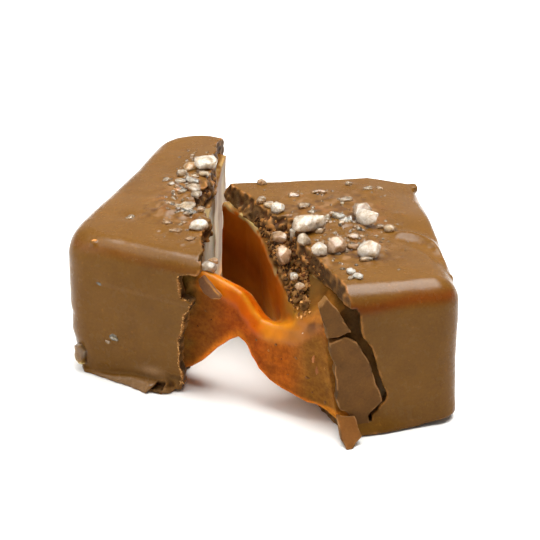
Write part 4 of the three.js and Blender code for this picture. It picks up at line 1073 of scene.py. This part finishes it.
for args in (
    dict(u=6.63, v=19.1, size=(1.0, 0.6, 0.30), yaw=20, tint=np.array([0.42, 0.21, 0.07]), clear=0.3, sink=0.10, seed=341, facets=10, roll=16),
    dict(u=8.15, v=19.7, size=(1.35, 0.95, 0.42), yaw=22, tint=WHITE, clear=0.08, sink=0.05, seed=342, facets=10, cells=24, roll=24, lift=0.1, low=0.8),
    dict(u=8.85, v=17.7, size=(0.75, 0.42, 0.26), yaw=-15, tint=CREAM, clear=0.3, sink=0.1, seed=343, roll=14),
    dict(u=6.3, v=17.35, size=(0.7, 0.62, 0.42), yaw=10, tint=BLUE, clear=0.65, sink=0.25, seed=344),
    dict(u=8.2, v=15.85, size=(1.1, 0.5, 0.36), yaw=-38, tint=WHITE, clear=0.55, sink=0.2, seed=345, roll=15),
    dict(u=9.3, v=13.85, size=(0.85, 0.75, 0.45), yaw=20, tint=CREAM, clear=0.6, sink=0.2, seed=346, roll=15),
    dict(u=10.1, v=12.95, size=(0.65, 0.75, 0.42), yaw=-10, tint=BLUE, clear=0.7, sink=0.2, seed=347),
    dict(u=10.0, v=9.8, size=(1.35, 1.15, 0.30), yaw=30, tint=CREAM, clear=0.45, sink=0.36, seed=348, cells=23, facets=12, low=0.8, rough=0.03),
    dict(u=11.2, v=9.2, size=(0.8, 0.7, 0.28), yaw=0, tint=CREAM, clear=0.45, sink=0.36, seed=349, rough=0.03),
    dict(u=8.5, v=13.2, size=(0.7, 0.5, 0.3), yaw=50, tint=CREAM, clear=0.7, sink=0.4, seed=359),
    dict(u=7.0, v=15.4, size=(0.8, 0.5, 0.32), yaw=10, tint=CREAM, clear=0.75, sink=0.4, seed=361),
    dict(u=12.0, v=10.0, size=(0.55, 0.5, 0.34), yaw=0, tint=PINK, clear=0.45, sink=0.2, seed=350),
    dict(u=13.3, v=6.5, size=(1.05, 0.75, 0.48), yaw=15, tint=WHITE, clear=0.12, sink=0.10, seed=351, facets=12, cells=21, roll=30, low=0.8),
    dict(u=6.3, v=14.6, size=(0.5, 0.35, 0.26), yaw=0, tint=GREY, clear=0.40, sink=0.45, seed=352),
    dict(u=5.2, v=15.6, size=(0.55, 0.4, 0.26), yaw=0, tint=GREY, clear=0.40, sink=0.5, seed=353),
    dict(u=5.2, v=6.1, size=(0.65, 0.45, 0.28), yaw=15, tint=GREY, clear=0.40, sink=0.5, seed=354, rough=0.04),
    dict(u=11.4, v=4.8, size=(0.7, 0.4, 0.26), yaw=-10, tint=TAN, clear=0.30, sink=0.55, seed=355),
    dict(u=9.8, v=6.1, size=(0.6, 0.45, 0.26), yaw=0, tint=TAN, clear=0.30, sink=0.55, seed=356),
    dict(u=8.3, v=9.8, size=(0.6, 0.45, 0.26), yaw=0, tint=TAN, clear=0.30, sink=0.5, seed=357),
    dict(u=11.0, v=8.6, size=(0.6, 0.5, 0.30), yaw=0, tint=GREY, clear=0.40, sink=0.45, seed=358),
    dict(u=13.6, v=3.8, size=(0.6, 0.4, 0.26), yaw=20, tint=TAN, clear=0.30, sink=0.6, seed=362),
    dict(u=7.7, v=13.4, size=(0.55, 0.42, 0.26), yaw=0, tint=np.array([0.33, 0.12, 0.025]), clear=0.1, sink=0.3, seed=363),
    # at the foot of the plate's edge, on the stretched caramel
    dict(u=16.4, v=3.6, size=(0.55, 0.45, 0.40), yaw=15, tint=TAN, clear=0.2, z=15.2, sink=0.2, seed=364),
    dict(u=16.0, v=3.0, size=(0.95, 0.70, 0.75), yaw=-25, tint=WHITE, clear=0.35, z=14.2, sink=0.12, seed=360, facets=12, cells=20, roll=25, low=0.8),
):
    grain_on(salt, L, **args)


def front_face(u, z):
    """Where the left half's front surface lies at this place."""
    vs = np.linspace(-2.0, 1.5, 141)
    inside = sample(left_grid, left_f, np.stack([np.full_like(vs, u), vs, np.full_like(vs, z)], 1)) < 0
    return vs[np.argmax(inside)]


# grains bedded in the left half's front: near the corner's foot, low down, and higher up
for point, size, yaw, pitch, roll, tint, clear, seed in (
    ((1.95, 0.58, 2.35), (1.15, 0.85, 1.55), 20, 0, 6, np.array([0.135, 0.074, 0.022]), 0.15, 381),
    ((5.25, front_face(5.25, 4.75) + 0.10, 4.75), (0.50, 0.35, 0.38), -24, 20, 0, PINK, 0.3, 382),
    ((6.05, front_face(6.05, 5.55) + 0.06, 5.55), (0.66, 0.28, 0.42), -24, 52, 0, np.array([0.22, 0.18, 0.13]), 0.35, 383),
    ((4.45, front_face(4.45, 12.05) + 0.06, 12.05), (0.34, 0.2, 0.24), -24, 30, 0, np.array([0.17, 0.14, 0.10]), 0.3, 384),
):
    vtx, quads = crystal(size, seed, facets=12, cells=18, low=0.76)
    vtx = turned(vtx, math.radians(yaw), math.radians(pitch), math.radians(roll))
    salt.append((vtx + to_world(LEFT, np.array([point]))[0], quads, tint, dict(clear=clear)))


# small grains strewn in the crust between the large ones
def strew(parts, half, count, seed, region, tints, least=0.14, most=0.42):
    rng = np.random.default_rng(seed)
    made = 0
    for _ in range(count * 12):
        if made >= count:
            break
        u, v = rng.uniform(region[0], region[1]), rng.uniform(region[2], region[3])
        keep = region[4](u, v)
        if rng.random() > keep:
            continue
        a = rng.uniform(least, most) * (0.6 + 0.6 * keep)
        b, c = a * rng.uniform(0.6, 1.0), a * rng.uniform(0.5, 0.85)
        tint = tints[rng.integers(len(tints))]
        grain_on(parts, half, u, v, (a, b, c), rng.uniform(0, 360), tint, rng.uniform(0.1, 0.4),
                 sink=rng.uniform(0.52, 0.74), pitch=rng.uniform(-15, 15), roll=rng.uniform(-15, 15),
                 seed=int(rng.integers(1 << 30)), facets=10, cells=9, rough=0.010)
        made += 1


def near_left(u, v):
    edge = np.interp(v, [p[0] for p in LEFT_TOP], [p[1] for p in LEFT_TOP])
    if u > edge - 0.35:
        return 0.0
    return float(math.exp(-((edge - u - 1.6) / 2.2) ** 2) * step(v, 2.0, 9.0) * step(24.5 - v, 0, 3.0))


def near_right(u, v):
    edge = np.interp(v, [p[0] for p in RIGHT_TOP], [p[1] for p in RIGHT_TOP])
    if u > edge - 0.3:
        return 0.0
    return float(math.exp(-((u - 10.0) / 4.2) ** 2) * (0.25 + 0.75 * math.exp(-((v - 14.0) / 6.0) ** 2)))


strew(salt, LEFT, 85, 371, (3.5, 15.5, 2.0, 25.0, near_left), [GREY, TAN, CREAM, TAN, BROWN, BROWN])
strew(salt, RIGHT, 155, 372, (2.5, 18.5, 3.5, 25.5, near_right), [GREY, TAN, CREAM, TAN, BROWN, BROWN, TAN])
salt_obj = join("salt_grains", salt)
print("salt", len(salt_obj.data.polygons))


# ------------------------------------------------------------------ crumbs of chocolate
def shard(size, seed, points=14):
    """A small angular chip: the hull of a few random points, as triangles."""
    import bmesh
    rng = np.random.default_rng(seed)
    p = rng.standard_normal((points, 3))
    p /= np.linalg.norm(p, axis=1, keepdims=True)
    p *= rng.uniform(0.7, 1.0, (points, 1)) * np.array(size)
    bm = bmesh.new()
    for q in p:
        bm.verts.new(q)
    out = bmesh.ops.convex_hull(bm, input=bm.verts)
    loose = [v for v in bm.verts if not v.link_faces]
    bmesh.ops.delete(bm, geom=loose, context="VERTS")
    bm.verts.index_update()
    vtx = np.array([v.co[:] for v in bm.verts])
    tri = np.array([[v.index for v in f.verts] for f in bm.faces])
    bm.free()
    return vtx, tri


CR_BRIGHT = np.array([0.66, 0.34, 0.115])
CR_GOLD, CR_MID, CR_DARK = np.array([0.34, 0.145, 0.036]), np.array([0.165, 0.068, 0.019]), np.array([0.040, 0.017, 0.005])
crumbs = []


def crumb_at(point, size, yaw, tint, seed, pitch=0.0, roll=0.0, points=14):
    vtx, tri = shard(size, seed, points)
    vtx = turned(vtx, math.radians(yaw), math.radians(pitch), math.radians(roll))
    crumbs.append((vtx + np.asarray(point), tri, tint, dict(broken=0.8, rough=0.6)))


def web_front(t_, z_, s_=0.0):
    """A point on the web's front face."""
    ss = np.arange(-1.5, 4, 0.05)
    pts_ = np.array([from_web(t_, a, z_) for a in ss])
    d = sample(cg, cara, pts_)
    hit = np.nonzero(d < 0)[0]
    return pts_[hit[0]] if len(hit) else from_web(t_, 0, z_)


print("crumbs")
for i, (t_, z_, size, roll, tint) in enumerate((
    (9.0, 8.5, (0.22, 0.15, 0.18), 10, CR_MID), (10.6, 7.7, (0.24, 0.14, 0.16), 40, CR_GOLD),
    (11.5, 8.7, (0.26, 0.14, 0.18), -20, CR_MID), (14.1, 7.8, (0.30, 0.16, 0.22), 25, CR_MID),
    (14.9, 11.2, (0.16, 0.12, 0.14), 0, np.array([0.55, 0.42, 0.28])), (15.4, 5.7, (0.38, 0.15, 0.16), 5, CR_MID),
    (17.3, 2.8, (0.20, 0.15, 0.42), 20, CR_MID), (17.7, 7.6, (0.20, 0.14, 0.16), 0, CR_GOLD),
    (16.3, 8.4, (0.26, 0.16, 0.80), 8, np.array([0.34, 0.12, 0.035])), (16.6, 7.0, (0.24, 0.16, 0.70), -6, np.array([0.25, 0.085, 0.025])),
    (2.6, 10.4, (0.18, 0.12, 0.12), 0, CR_MID), (1.6, 8.2, (0.14, 0.1, 0.12), 0, CR_DARK),
    (3.4, 9.6, (0.12, 0.1, 0.1), 0, CR_DARK), (13.0, 5.4, (0.14, 0.1, 0.12), 0, CR_MID),
    (12.2, 7.1, (0.12, 0.1, 0.1), 0, CR_DARK), (15.9, 3.9, (0.16, 0.12, 0.14), 30, CR_MID),
)):
    at_ = web_front(t_, z_)
    crumb_at(at_ + np.array([0, -0.02, 0]), size, math.degrees(math.atan2(WEB_DIR[1], WEB_DIR[0])), tint, 400 + i, pitch=roll)

def snap(grid, field, q, depth):
    """Moves a point in grid coordinates on to a field's surface and a little way in."""
    q = np.array(q, float)[None, :]
    for _ in range(8):
        d = float(sample(grid, field, q)[0]) + depth
        g = np.array([float((sample(grid, field, q + np.eye(3)[k] * 0.1) - sample(grid, field, q - np.eye(3)[k] * 0.1))[0])
                      for k in range(3)]) / 0.2
        q = q - np.clip(d, -0.4, 0.4) * g / max(float(g @ g), 0.2)
    return q[0], abs(float(sample(grid, field, q[None, 0])[0]) + depth)


def crumbs_along(half, line, plane, count, seed, depth, tints, least, most, rough=0.25, reach=(15.4, 17.3)):
    """Crumbs stuck along a break line: plane is 'top' (line in u, v) or 'front' (line in u, z)."""
    r = np.random.default_rng(seed)
    grid, field = (left_grid, left_f) if half is LEFT else (right_grid, right_f)
    pts_ = np.array(line, float)
    for _ in range(count):
        b = r.uniform(depth[0], depth[1])
        a = np.interp(b, pts_[:, 0], pts_[:, 1]) + r.normal(0, rough)
        size = r.uniform(least, most) * np.array([1.0, r.uniform(0.5, 0.9), r.uniform(0.5, 0.9)])
        q = (a, b, r.uniform(*reach)) if plane == "top" else (a, r.uniform(*reach), b)
        q, miss = snap(grid, field, q, 0.25 * size[0])
        if miss > 0.08:
            continue
        crumb_at(to_world(half, q[None, :])[0], size, r.uniform(0, 360), tints[r.integers(len(tints))],
                 int(r.integers(1 << 30)), pitch=r.uniform(0, 180), roll=r.uniform(0, 180), points=12)


crumbs_along(LEFT, LEFT_FRONT, "front", 420, 411, (0.8, 15.4), [CR_GOLD, CR_BRIGHT, CR_MID, CR_BRIGHT], 0.06, 0.16, 0.07, (-0.60, -0.05))
crumbs_along(LEFT, LEFT_FRONT, "front", 60, 415, (0.2, 12.4), [CR_DARK, CR_MID], 0.08, 0.20, 0.12, (0.4, 1.3))
crumbs_along(LEFT, LEFT_TOP, "top", 130, 412, (2.0, 26.0), [CR_GOLD, CR_MID, CR_DARK], 0.09, 0.26, 0.16)
crumbs_along(RIGHT, RIGHT_TOP, "top", 190, 413, (6.5, 21.0), [CR_GOLD, CR_MID, CR_DARK, RUST], 0.09, 0.30, 0.30)
crumbs_along(RIGHT, RIGHT_FRONT, "front", 40, 414, (2.0, 16.5), [CR_GOLD, CR_MID], 0.06, 0.13, 0.05, (-0.1, 0.5))

# loose crumbs heaped on the ledge behind the right plate's edge
both = np.minimum(cara, coat)
r = np.random.default_rng(416)
LEDGE = [[15.9, 4.0], [16.9, 3.8], [17.2, 5.0], [17.7, 8.5], [18.0, 12.0], [18.3, 14.5], [18.6, 18.2], [19.1, 21.5], [16.9, 21.0],
         [15.2, 18.5], [15.2, 12.0], [15.0, 9.5], [15.6, 6.0]]
heap = 0
for _ in range(2600):
    if heap >= 560:
        break
    u_, v_ = r.uniform(14.4, 19.2), r.uniform(2.6, 21.5)
    if polygon(np.array([u_]), np.array([v_]), LEDGE)[0] > -0.05:
        continue
    w_ = to_world(RIGHT, np.array([[u_, v_, 0.0]]))[0]
    zs = np.arange(16.3, 11.5, -0.05)
    d = sample(cg, both, np.stack([np.full_like(zs, w_[0]), np.full_like(zs, w_[1]), zs], 1))
    hit = np.nonzero(d < 0)[0]
    if not len(hit) or hit[0] == 0:
        continue
    if v_ < 4.5 and r.random() < 0.5:
        continue
    a_ = r.uniform(0.10, 0.36) * (0.8 if v_ < 6.5 else 1.0)
    size = a_ * np.array([1.0, r.uniform(0.6, 0.9), r.uniform(0.5, 0.9)])
    tint = [CR_DARK, CR_DARK, CR_MID, CR_MID, CR_GOLD, RUST][r.integers(6)] if v_ > 6.0 else [CR_MID, CR_GOLD, CR_BRIGHT][r.integers(3)]
    crumb_at((w_[0], w_[1], zs[hit[0]] + r.uniform(-0.1, 0.5) * a_), size, r.uniform(0, 360), tint, int(r.integers(1 << 30)),
             pitch=r.uniform(0, 180), roll=r.uniform(0, 180), points=11)
    heap += 1
# the crumb on the left half's front corner, and its speck
for u_, v_, a_ in ((3.55, 0.35, 0.42), (3.0, 1.0, 0.16)):
    q, _ = snap(left_grid, left_f, (u_, v_, 17.0), 0.10)
    crumb_at(to_world(LEFT, q[None, :])[0], (a_, a_ * 0.6, a_ * 0.45), -5, np.array([0.50, 0.21, 0.06]), 900 + int(a_ * 100), points=16)
crumb_obj = join("chocolate_crumbs", crumbs, smooth=False)
print("crumbs", len(crumb_obj.data.polygons))


# ------------------------------------------------------------------ materials
def material(name):
    m = bpy.data.materials.new(name)
    m.use_nodes = True
    nodes, links = m.node_tree.nodes, m.node_tree.links
    nodes.clear()
    out = nodes.new("ShaderNodeOutputMaterial")
    bsdf = nodes.new("ShaderNodeBsdfPrincipled")
    links.new(bsdf.outputs[0], out.inputs[0])
    return m, nodes, links, bsdf


def attr(nodes, name):
    a = nodes.new("ShaderNodeAttribute")
    a.attribute_name = name
    return a


def tex(nodes, links, scale, detail=4.0, rough=0.55, distortion=0.0):
    """Noise over object space; scale is in features per metre."""
    c = nodes.new("ShaderNodeTexCoord")
    t_ = nodes.new("ShaderNodeTexNoise")
    t_.inputs["Scale"].default_value = scale
    t_.inputs["Detail"].default_value = detail
    t_.inputs["Roughness"].default_value = rough
    t_.inputs["Distortion"].default_value = distortion
    links.new(c.outputs["Object"], t_.inputs["Vector"])
    return t_


def math_node(nodes, links, op, a, b=None, c=None, clamp=False):
    m = nodes.new("ShaderNodeMath")
    m.operation = op
    m.use_clamp = clamp
    for i, x in enumerate((a, b, c)):
        if x is None:
            continue
        if isinstance(x, (int, float)):
            m.inputs[i].default_value = x
        else:
            links.new(x, m.inputs[i])
    return m.outputs[0]


def ramp(nodes, links, fac, stops):
    r = nodes.new("ShaderNodeValToRGB")
    links.new(fac, r.inputs[0])
    els = r.color_ramp.elements
    els[0].position, els[0].color = stops[0][0], (*stops[0][1], 1) if len(stops[0][1]) == 3 else stops[0][1]
    els[1].position, els[1].color = stops[1][0], (*stops[1][1], 1) if len(stops[1][1]) == 3 else stops[1][1]
    for pos, c in stops[2:]:
        e = els.new(pos)
        e.color = (*c, 1)
    return r.outputs[0]


def mix_rgb(nodes, links, kind, fac, a, b):
    m = nodes.new("ShaderNodeMix")
    m.data_type = "RGBA"
    m.blend_type = kind
    if isinstance(fac, (int, float)):
        m.inputs[0].default_value = fac
    else:
        links.new(fac, m.inputs[0])
    for i, x in ((6, a), (7, b)):
        if isinstance(x, tuple):
            m.inputs[i].default_value = (*x, 1)
        else:
            links.new(x, m.inputs[i])
    return m.outputs[2]


def chocolate_material(name, gloss=0.0):
    m, nodes, links, bsdf = material(name)
    colour = attr(nodes, "paint").outputs["Color"]
    broken = attr(nodes, "broken").outputs["Fac"]
    rough = attr(nodes, "rough").outputs["Fac"]
    # cloudy fat bloom, then fine cocoa specks
    cloud = tex(nodes, links, 260, 5, 0.6, 0.4).outputs["Fac"]
    tone = ramp(nodes, links, cloud, [(0.30, (0.90, 0.89, 0.87)), (0.70, (1.07, 1.08, 1.10))])
    c = mix_rgb(nodes, links, "MULTIPLY", 1.0, colour, tone)
    speck = tex(nodes, links, 3800, 3, 0.6).outputs["Fac"]
    tone2 = ramp(nodes, links, speck, [(0.34, (0.86, 0.84, 0.82)), (0.66, (1.10, 1.10, 1.09))])
    c = mix_rgb(nodes, links, "MULTIPLY", 0.8, c, tone2)
    dots = tex(nodes, links, 2300, 2, 0.5).outputs["Fac"]
    light = ramp(nodes, links, dots, [(0.66, (1, 1, 1)), (0.74, (1.40, 1.30, 1.20))])
    c = mix_rgb(nodes, links, "MULTIPLY", 0.8, c, light)
    spots = tex(nodes, links, 1500, 2, 0.5).outputs["Fac"]
    dark = ramp(nodes, links, spots, [(0.70, (1, 1, 1)), (0.78, (0.72, 0.66, 0.62))])
    c = mix_rgb(nodes, links, "MULTIPLY", 0.7, c, dark)
    links.new(c, bsdf.inputs["Base Color"])
    mid = tex(nodes, links, 900, 4, 0.6).outputs["Fac"]
    r = math_node(nodes, links, "MULTIPLY_ADD", mid, 0.16, rough)
    r = math_node(nodes, links, "SUBTRACT", r, 0.08, clamp=True)
    links.new(r, bsdf.inputs["Roughness"])
    fine = tex(nodes, links, 5200, 3, 0.6).outputs["Fac"]
    soft = tex(nodes, links, 1300, 4, 0.55).outputs["Fac"]
    strength = math_node(nodes, links, "MULTIPLY_ADD", broken, 0.9, 0.16)
    height = math_node(nodes, links, "MULTIPLY_ADD", soft, 1.6, fine)
    bump = nodes.new("ShaderNodeBump")
    bump.inputs["Distance"].default_value = 0.00005
    links.new(strength, bump.inputs["Strength"])
    links.new(height, bump.inputs["Height"])
    links.new(bump.outputs[0], bsdf.inputs["Normal"])
    bsdf.inputs["IOR"].default_value = 1.46
    shine = math_node(nodes, links, "ADD", attr(nodes, "sheen").outputs["Fac"], 0.10)
    links.new(shine, bsdf.inputs["Specular IOR Level"])
    bsdf.inputs["Subsurface Weight"].default_value = 0.05
    bsdf.inputs["Subsurface Radius"].default_value = (1.0, 0.5, 0.25)
    bsdf.inputs["Subsurface Scale"].default_value = 0.0005
    return m


def caramel_material():
    m, nodes, links, bsdf = material("caramel")
    colour = attr(nodes, "paint").outputs["Color"]
    dusty_ = attr(nodes, "dusty").outputs["Fac"]
    rough = attr(nodes, "rough").outputs["Fac"]
    fleck = tex(nodes, links, 2600, 4, 0.65).outputs["Fac"]
    tone = ramp(nodes, links, fleck, [(0.32, (0.66, 0.60, 0.52)), (0.62, (1.10, 1.08, 1.05))])
    amount = math_node(nodes, links, "MULTIPLY_ADD", dusty_, 0.75, 0.15)
    c = mix_rgb(nodes, links, "MULTIPLY", amount, colour, tone)
    cloud = tex(nodes, links, 420, 4, 0.6, 0.6).outputs["Fac"]
    tone2 = ramp(nodes, links, cloud, [(0.32, (0.88, 0.84, 0.80)), (0.68, (1.08, 1.08, 1.08))])
    c = mix_rgb(nodes, links, "MULTIPLY", 0.8, c, tone2)
    links.new(c, bsdf.inputs["Base Color"])
    mid = tex(nodes, links, 1100, 3, 0.6).outputs["Fac"]
    r = math_node(nodes, links, "MULTIPLY_ADD", mid, 0.18, rough)
    r = math_node(nodes, links, "SUBTRACT", r, 0.09, clamp=True)
    links.new(r, bsdf.inputs["Roughness"])
    fine = tex(nodes, links, 3000, 4, 0.6).outputs["Fac"]
    strength = math_node(nodes, links, "MULTIPLY_ADD", dusty_, 0.6, 0.12)
    bump = nodes.new("ShaderNodeBump")
    bump.inputs["Distance"].default_value = 0.00006
    links.new(strength, bump.inputs["Strength"])
    links.new(fine, bump.inputs["Height"])
    links.new(bump.outputs[0], bsdf.inputs["Normal"])
    bsdf.inputs["IOR"].default_value = 1.48
    links.new(attr(nodes, "sheen").outputs["Fac"], bsdf.inputs["Specular IOR Level"])
    bsdf.inputs["Subsurface Weight"].default_value = 0.35
    bsdf.inputs["Subsurface Radius"].default_value = (1.0, 0.42, 0.12)
    bsdf.inputs["Subsurface Scale"].default_value = 0.0010
    return m


def salt_material():
    m, nodes, links, bsdf = material("salt")
    colour = attr(nodes, "paint").outputs["Color"]
    clear = attr(nodes, "clear").outputs["Fac"]
    cloud = tex(nodes, links, 1500, 4, 0.6, 0.5).outputs["Fac"]
    tone = ramp(nodes, links, cloud, [(0.38, (0.74, 0.65, 0.54)), (0.56, (1.12, 1.12, 1.12))])
    c = mix_rgb(nodes, links, "MULTIPLY", 0.85, colour, tone)
    vein = tex(nodes, links, 3600, 3, 0.6, 1.2).outputs["Fac"]
    tone2 = ramp(nodes, links, vein, [(0.42, (0.80, 0.76, 0.70)), (0.56, (1.08, 1.08, 1.08))])
    c = mix_rgb(nodes, links, "MULTIPLY", 0.7, c, tone2)
    links.new(c, bsdf.inputs["Base Color"])
    t_ = math_node(nodes, links, "MULTIPLY", clear, 0.50, clamp=True)
    links.new(t_, bsdf.inputs["Transmission Weight"])
    r = math_node(nodes, links, "MULTIPLY_ADD", cloud, 0.22, 0.10)
    links.new(r, bsdf.inputs["Roughness"])
    fine = tex(nodes, links, 4200, 3, 0.6).outputs["Fac"]
    bump = nodes.new("ShaderNodeBump")
    bump.inputs["Strength"].default_value = 0.35
    bump.inputs["Distance"].default_value = 0.00004
    links.new(fine, bump.inputs["Height"])
    links.new(bump.outputs[0], bsdf.inputs["Normal"])
    bsdf.inputs["IOR"].default_value = 1.50
    bsdf.inputs["Subsurface Weight"].default_value = 1.0
    bsdf.inputs["Subsurface Radius"].default_value = (1.0, 0.85, 0.7)
    bsdf.inputs["Subsurface Scale"].default_value = 0.0035
    return m


choc = chocolate_material("milk_chocolate")
crumb_mat = chocolate_material("chocolate_crumb")
caramel_mat = caramel_material()
salt_mat = salt_material()

for obj, mat, nodes_, slot in (
    (left_obj, choc, ["left_shell"], "chocolate"),
    (right_obj, choc, ["right_shell"], "chocolate"),
    (cara_obj, caramel_mat, ["caramel"], "caramel"),
    (chip_lower, choc, ["chip_lower"], "chocolate"),
    (chip_upper, choc, ["chip_upper"], "chocolate"),
    (chip_tip, choc, ["chip_tip"], "chocolate"),
    (flake, choc, ["flake"], "chocolate"),
    (salt_obj, salt_mat, [], "salt"),
    (crumb_obj, crumb_mat, [], "chocolate"),
):
    obj.data.materials.clear()
    obj.data.materials.append(mat)
    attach(obj, "root")
    if nodes_:
        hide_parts(*nodes_)

# ------------------------------------------------------------------ floor, light, camera
floor_mesh = bpy.data.meshes.new("floor")
s_ = 3.0
floor_mesh.from_pydata([(-s_, -s_, -0.00002), (s_, -s_, -0.00002), (s_, s_, -0.00002), (-s_, s_, -0.00002)], [], [(0, 1, 2, 3)])
floor = bpy.data.objects.new("floor", floor_mesh)
bpy.context.scene.collection.objects.link(floor)
fm, fn, fl, fb = material("floor")
fb.inputs["Base Color"].default_value = (0.90, 0.90, 0.885, 1)
fb.inputs["Roughness"].default_value = 0.7
fb.inputs["Specular IOR Level"].default_value = 0.2
floor_mesh.materials.append(fm)

world = bpy.data.worlds.new("studio")
world.use_nodes = True
bg = world.node_tree.nodes["Background"]
# a pale sweep round the horizon that darkens overhead
where_ = world.node_tree.nodes.new("ShaderNodeTexCoord")
split = world.node_tree.nodes.new("ShaderNodeSeparateXYZ")
sweep = world.node_tree.nodes.new("ShaderNodeValToRGB")
world.node_tree.links.new(where_.outputs["Generated"], split.inputs[0])
world.node_tree.links.new(split.outputs["Z"], sweep.inputs[0])
world.node_tree.links.new(sweep.outputs[0], bg.inputs[0])
els = sweep.color_ramp.elements
els[0].position, els[0].color = 0.0, (0.44, 0.44, 0.435, 1)
els[1].position, els[1].color = 0.35, (0.20, 0.20, 0.20, 1)
el = els.new(0.10)
el.color = (0.37, 0.37, 0.365, 1)
bg.inputs[1].default_value = 1.0
bpy.context.scene.world = world


def area(name, location, target, size, power, colour=(1, 1, 1)):
    light = bpy.data.lights.new(name, "AREA")
    light.shape = "RECTANGLE"
    light.size, light.size_y = size
    light.energy = power
    light.color = colour
    obj = bpy.data.objects.new(name, light)
    bpy.context.scene.collection.objects.link(obj)
    obj.location = location
    d = np.array(target, float) - np.array(location, float)
    from mathutils import Vector
    obj.rotation_mode = "QUATERNION"
    obj.rotation_quaternion = Vector(d).to_track_quat("-Z", "Y")
    return obj


area("overhead", (0.075, 0.05, 0.50), (0, 0, 0.01), (0.40, 0.40), 6.1, (1.0, 0.99, 0.97))
area("left_top", (-0.26, -0.02, 0.45), (0, 0, 0.01), (0.40, 0.40), 1.35, (1.0, 0.99, 0.97))
area("left_fill", (-0.52, -0.12, 0.17), (0, 0, 0.01), (0.50, 0.34), 0.68, (1.0, 0.99, 0.97))
area("backdrop", (0.0, 0.75, 0.42), (0, 0, 0.01), (1.6, 0.6), 1.25, (1.0, 0.995, 0.985))

cam_data = bpy.data.cameras.new("camera")
cam = bpy.data.objects.new("camera", cam_data)
bpy.context.scene.collection.objects.link(cam)
cam_data.sensor_width = 36.0
cam_data.lens = 246.0
ELEV, DIST = math.radians(28.83), 0.43357
cam.location = (0.000947, 0.018775 - DIST * math.cos(ELEV), DIST * math.sin(ELEV))
cam.rotation_euler = (math.radians(90) - ELEV, 0, 0)
cam_data.clip_start, cam_data.clip_end = 0.01, 20
bpy.context.scene.camera = cam
bpy.context.scene.view_settings.view_transform = "Standard"
bpy.context.scene.view_settings.look = "None"
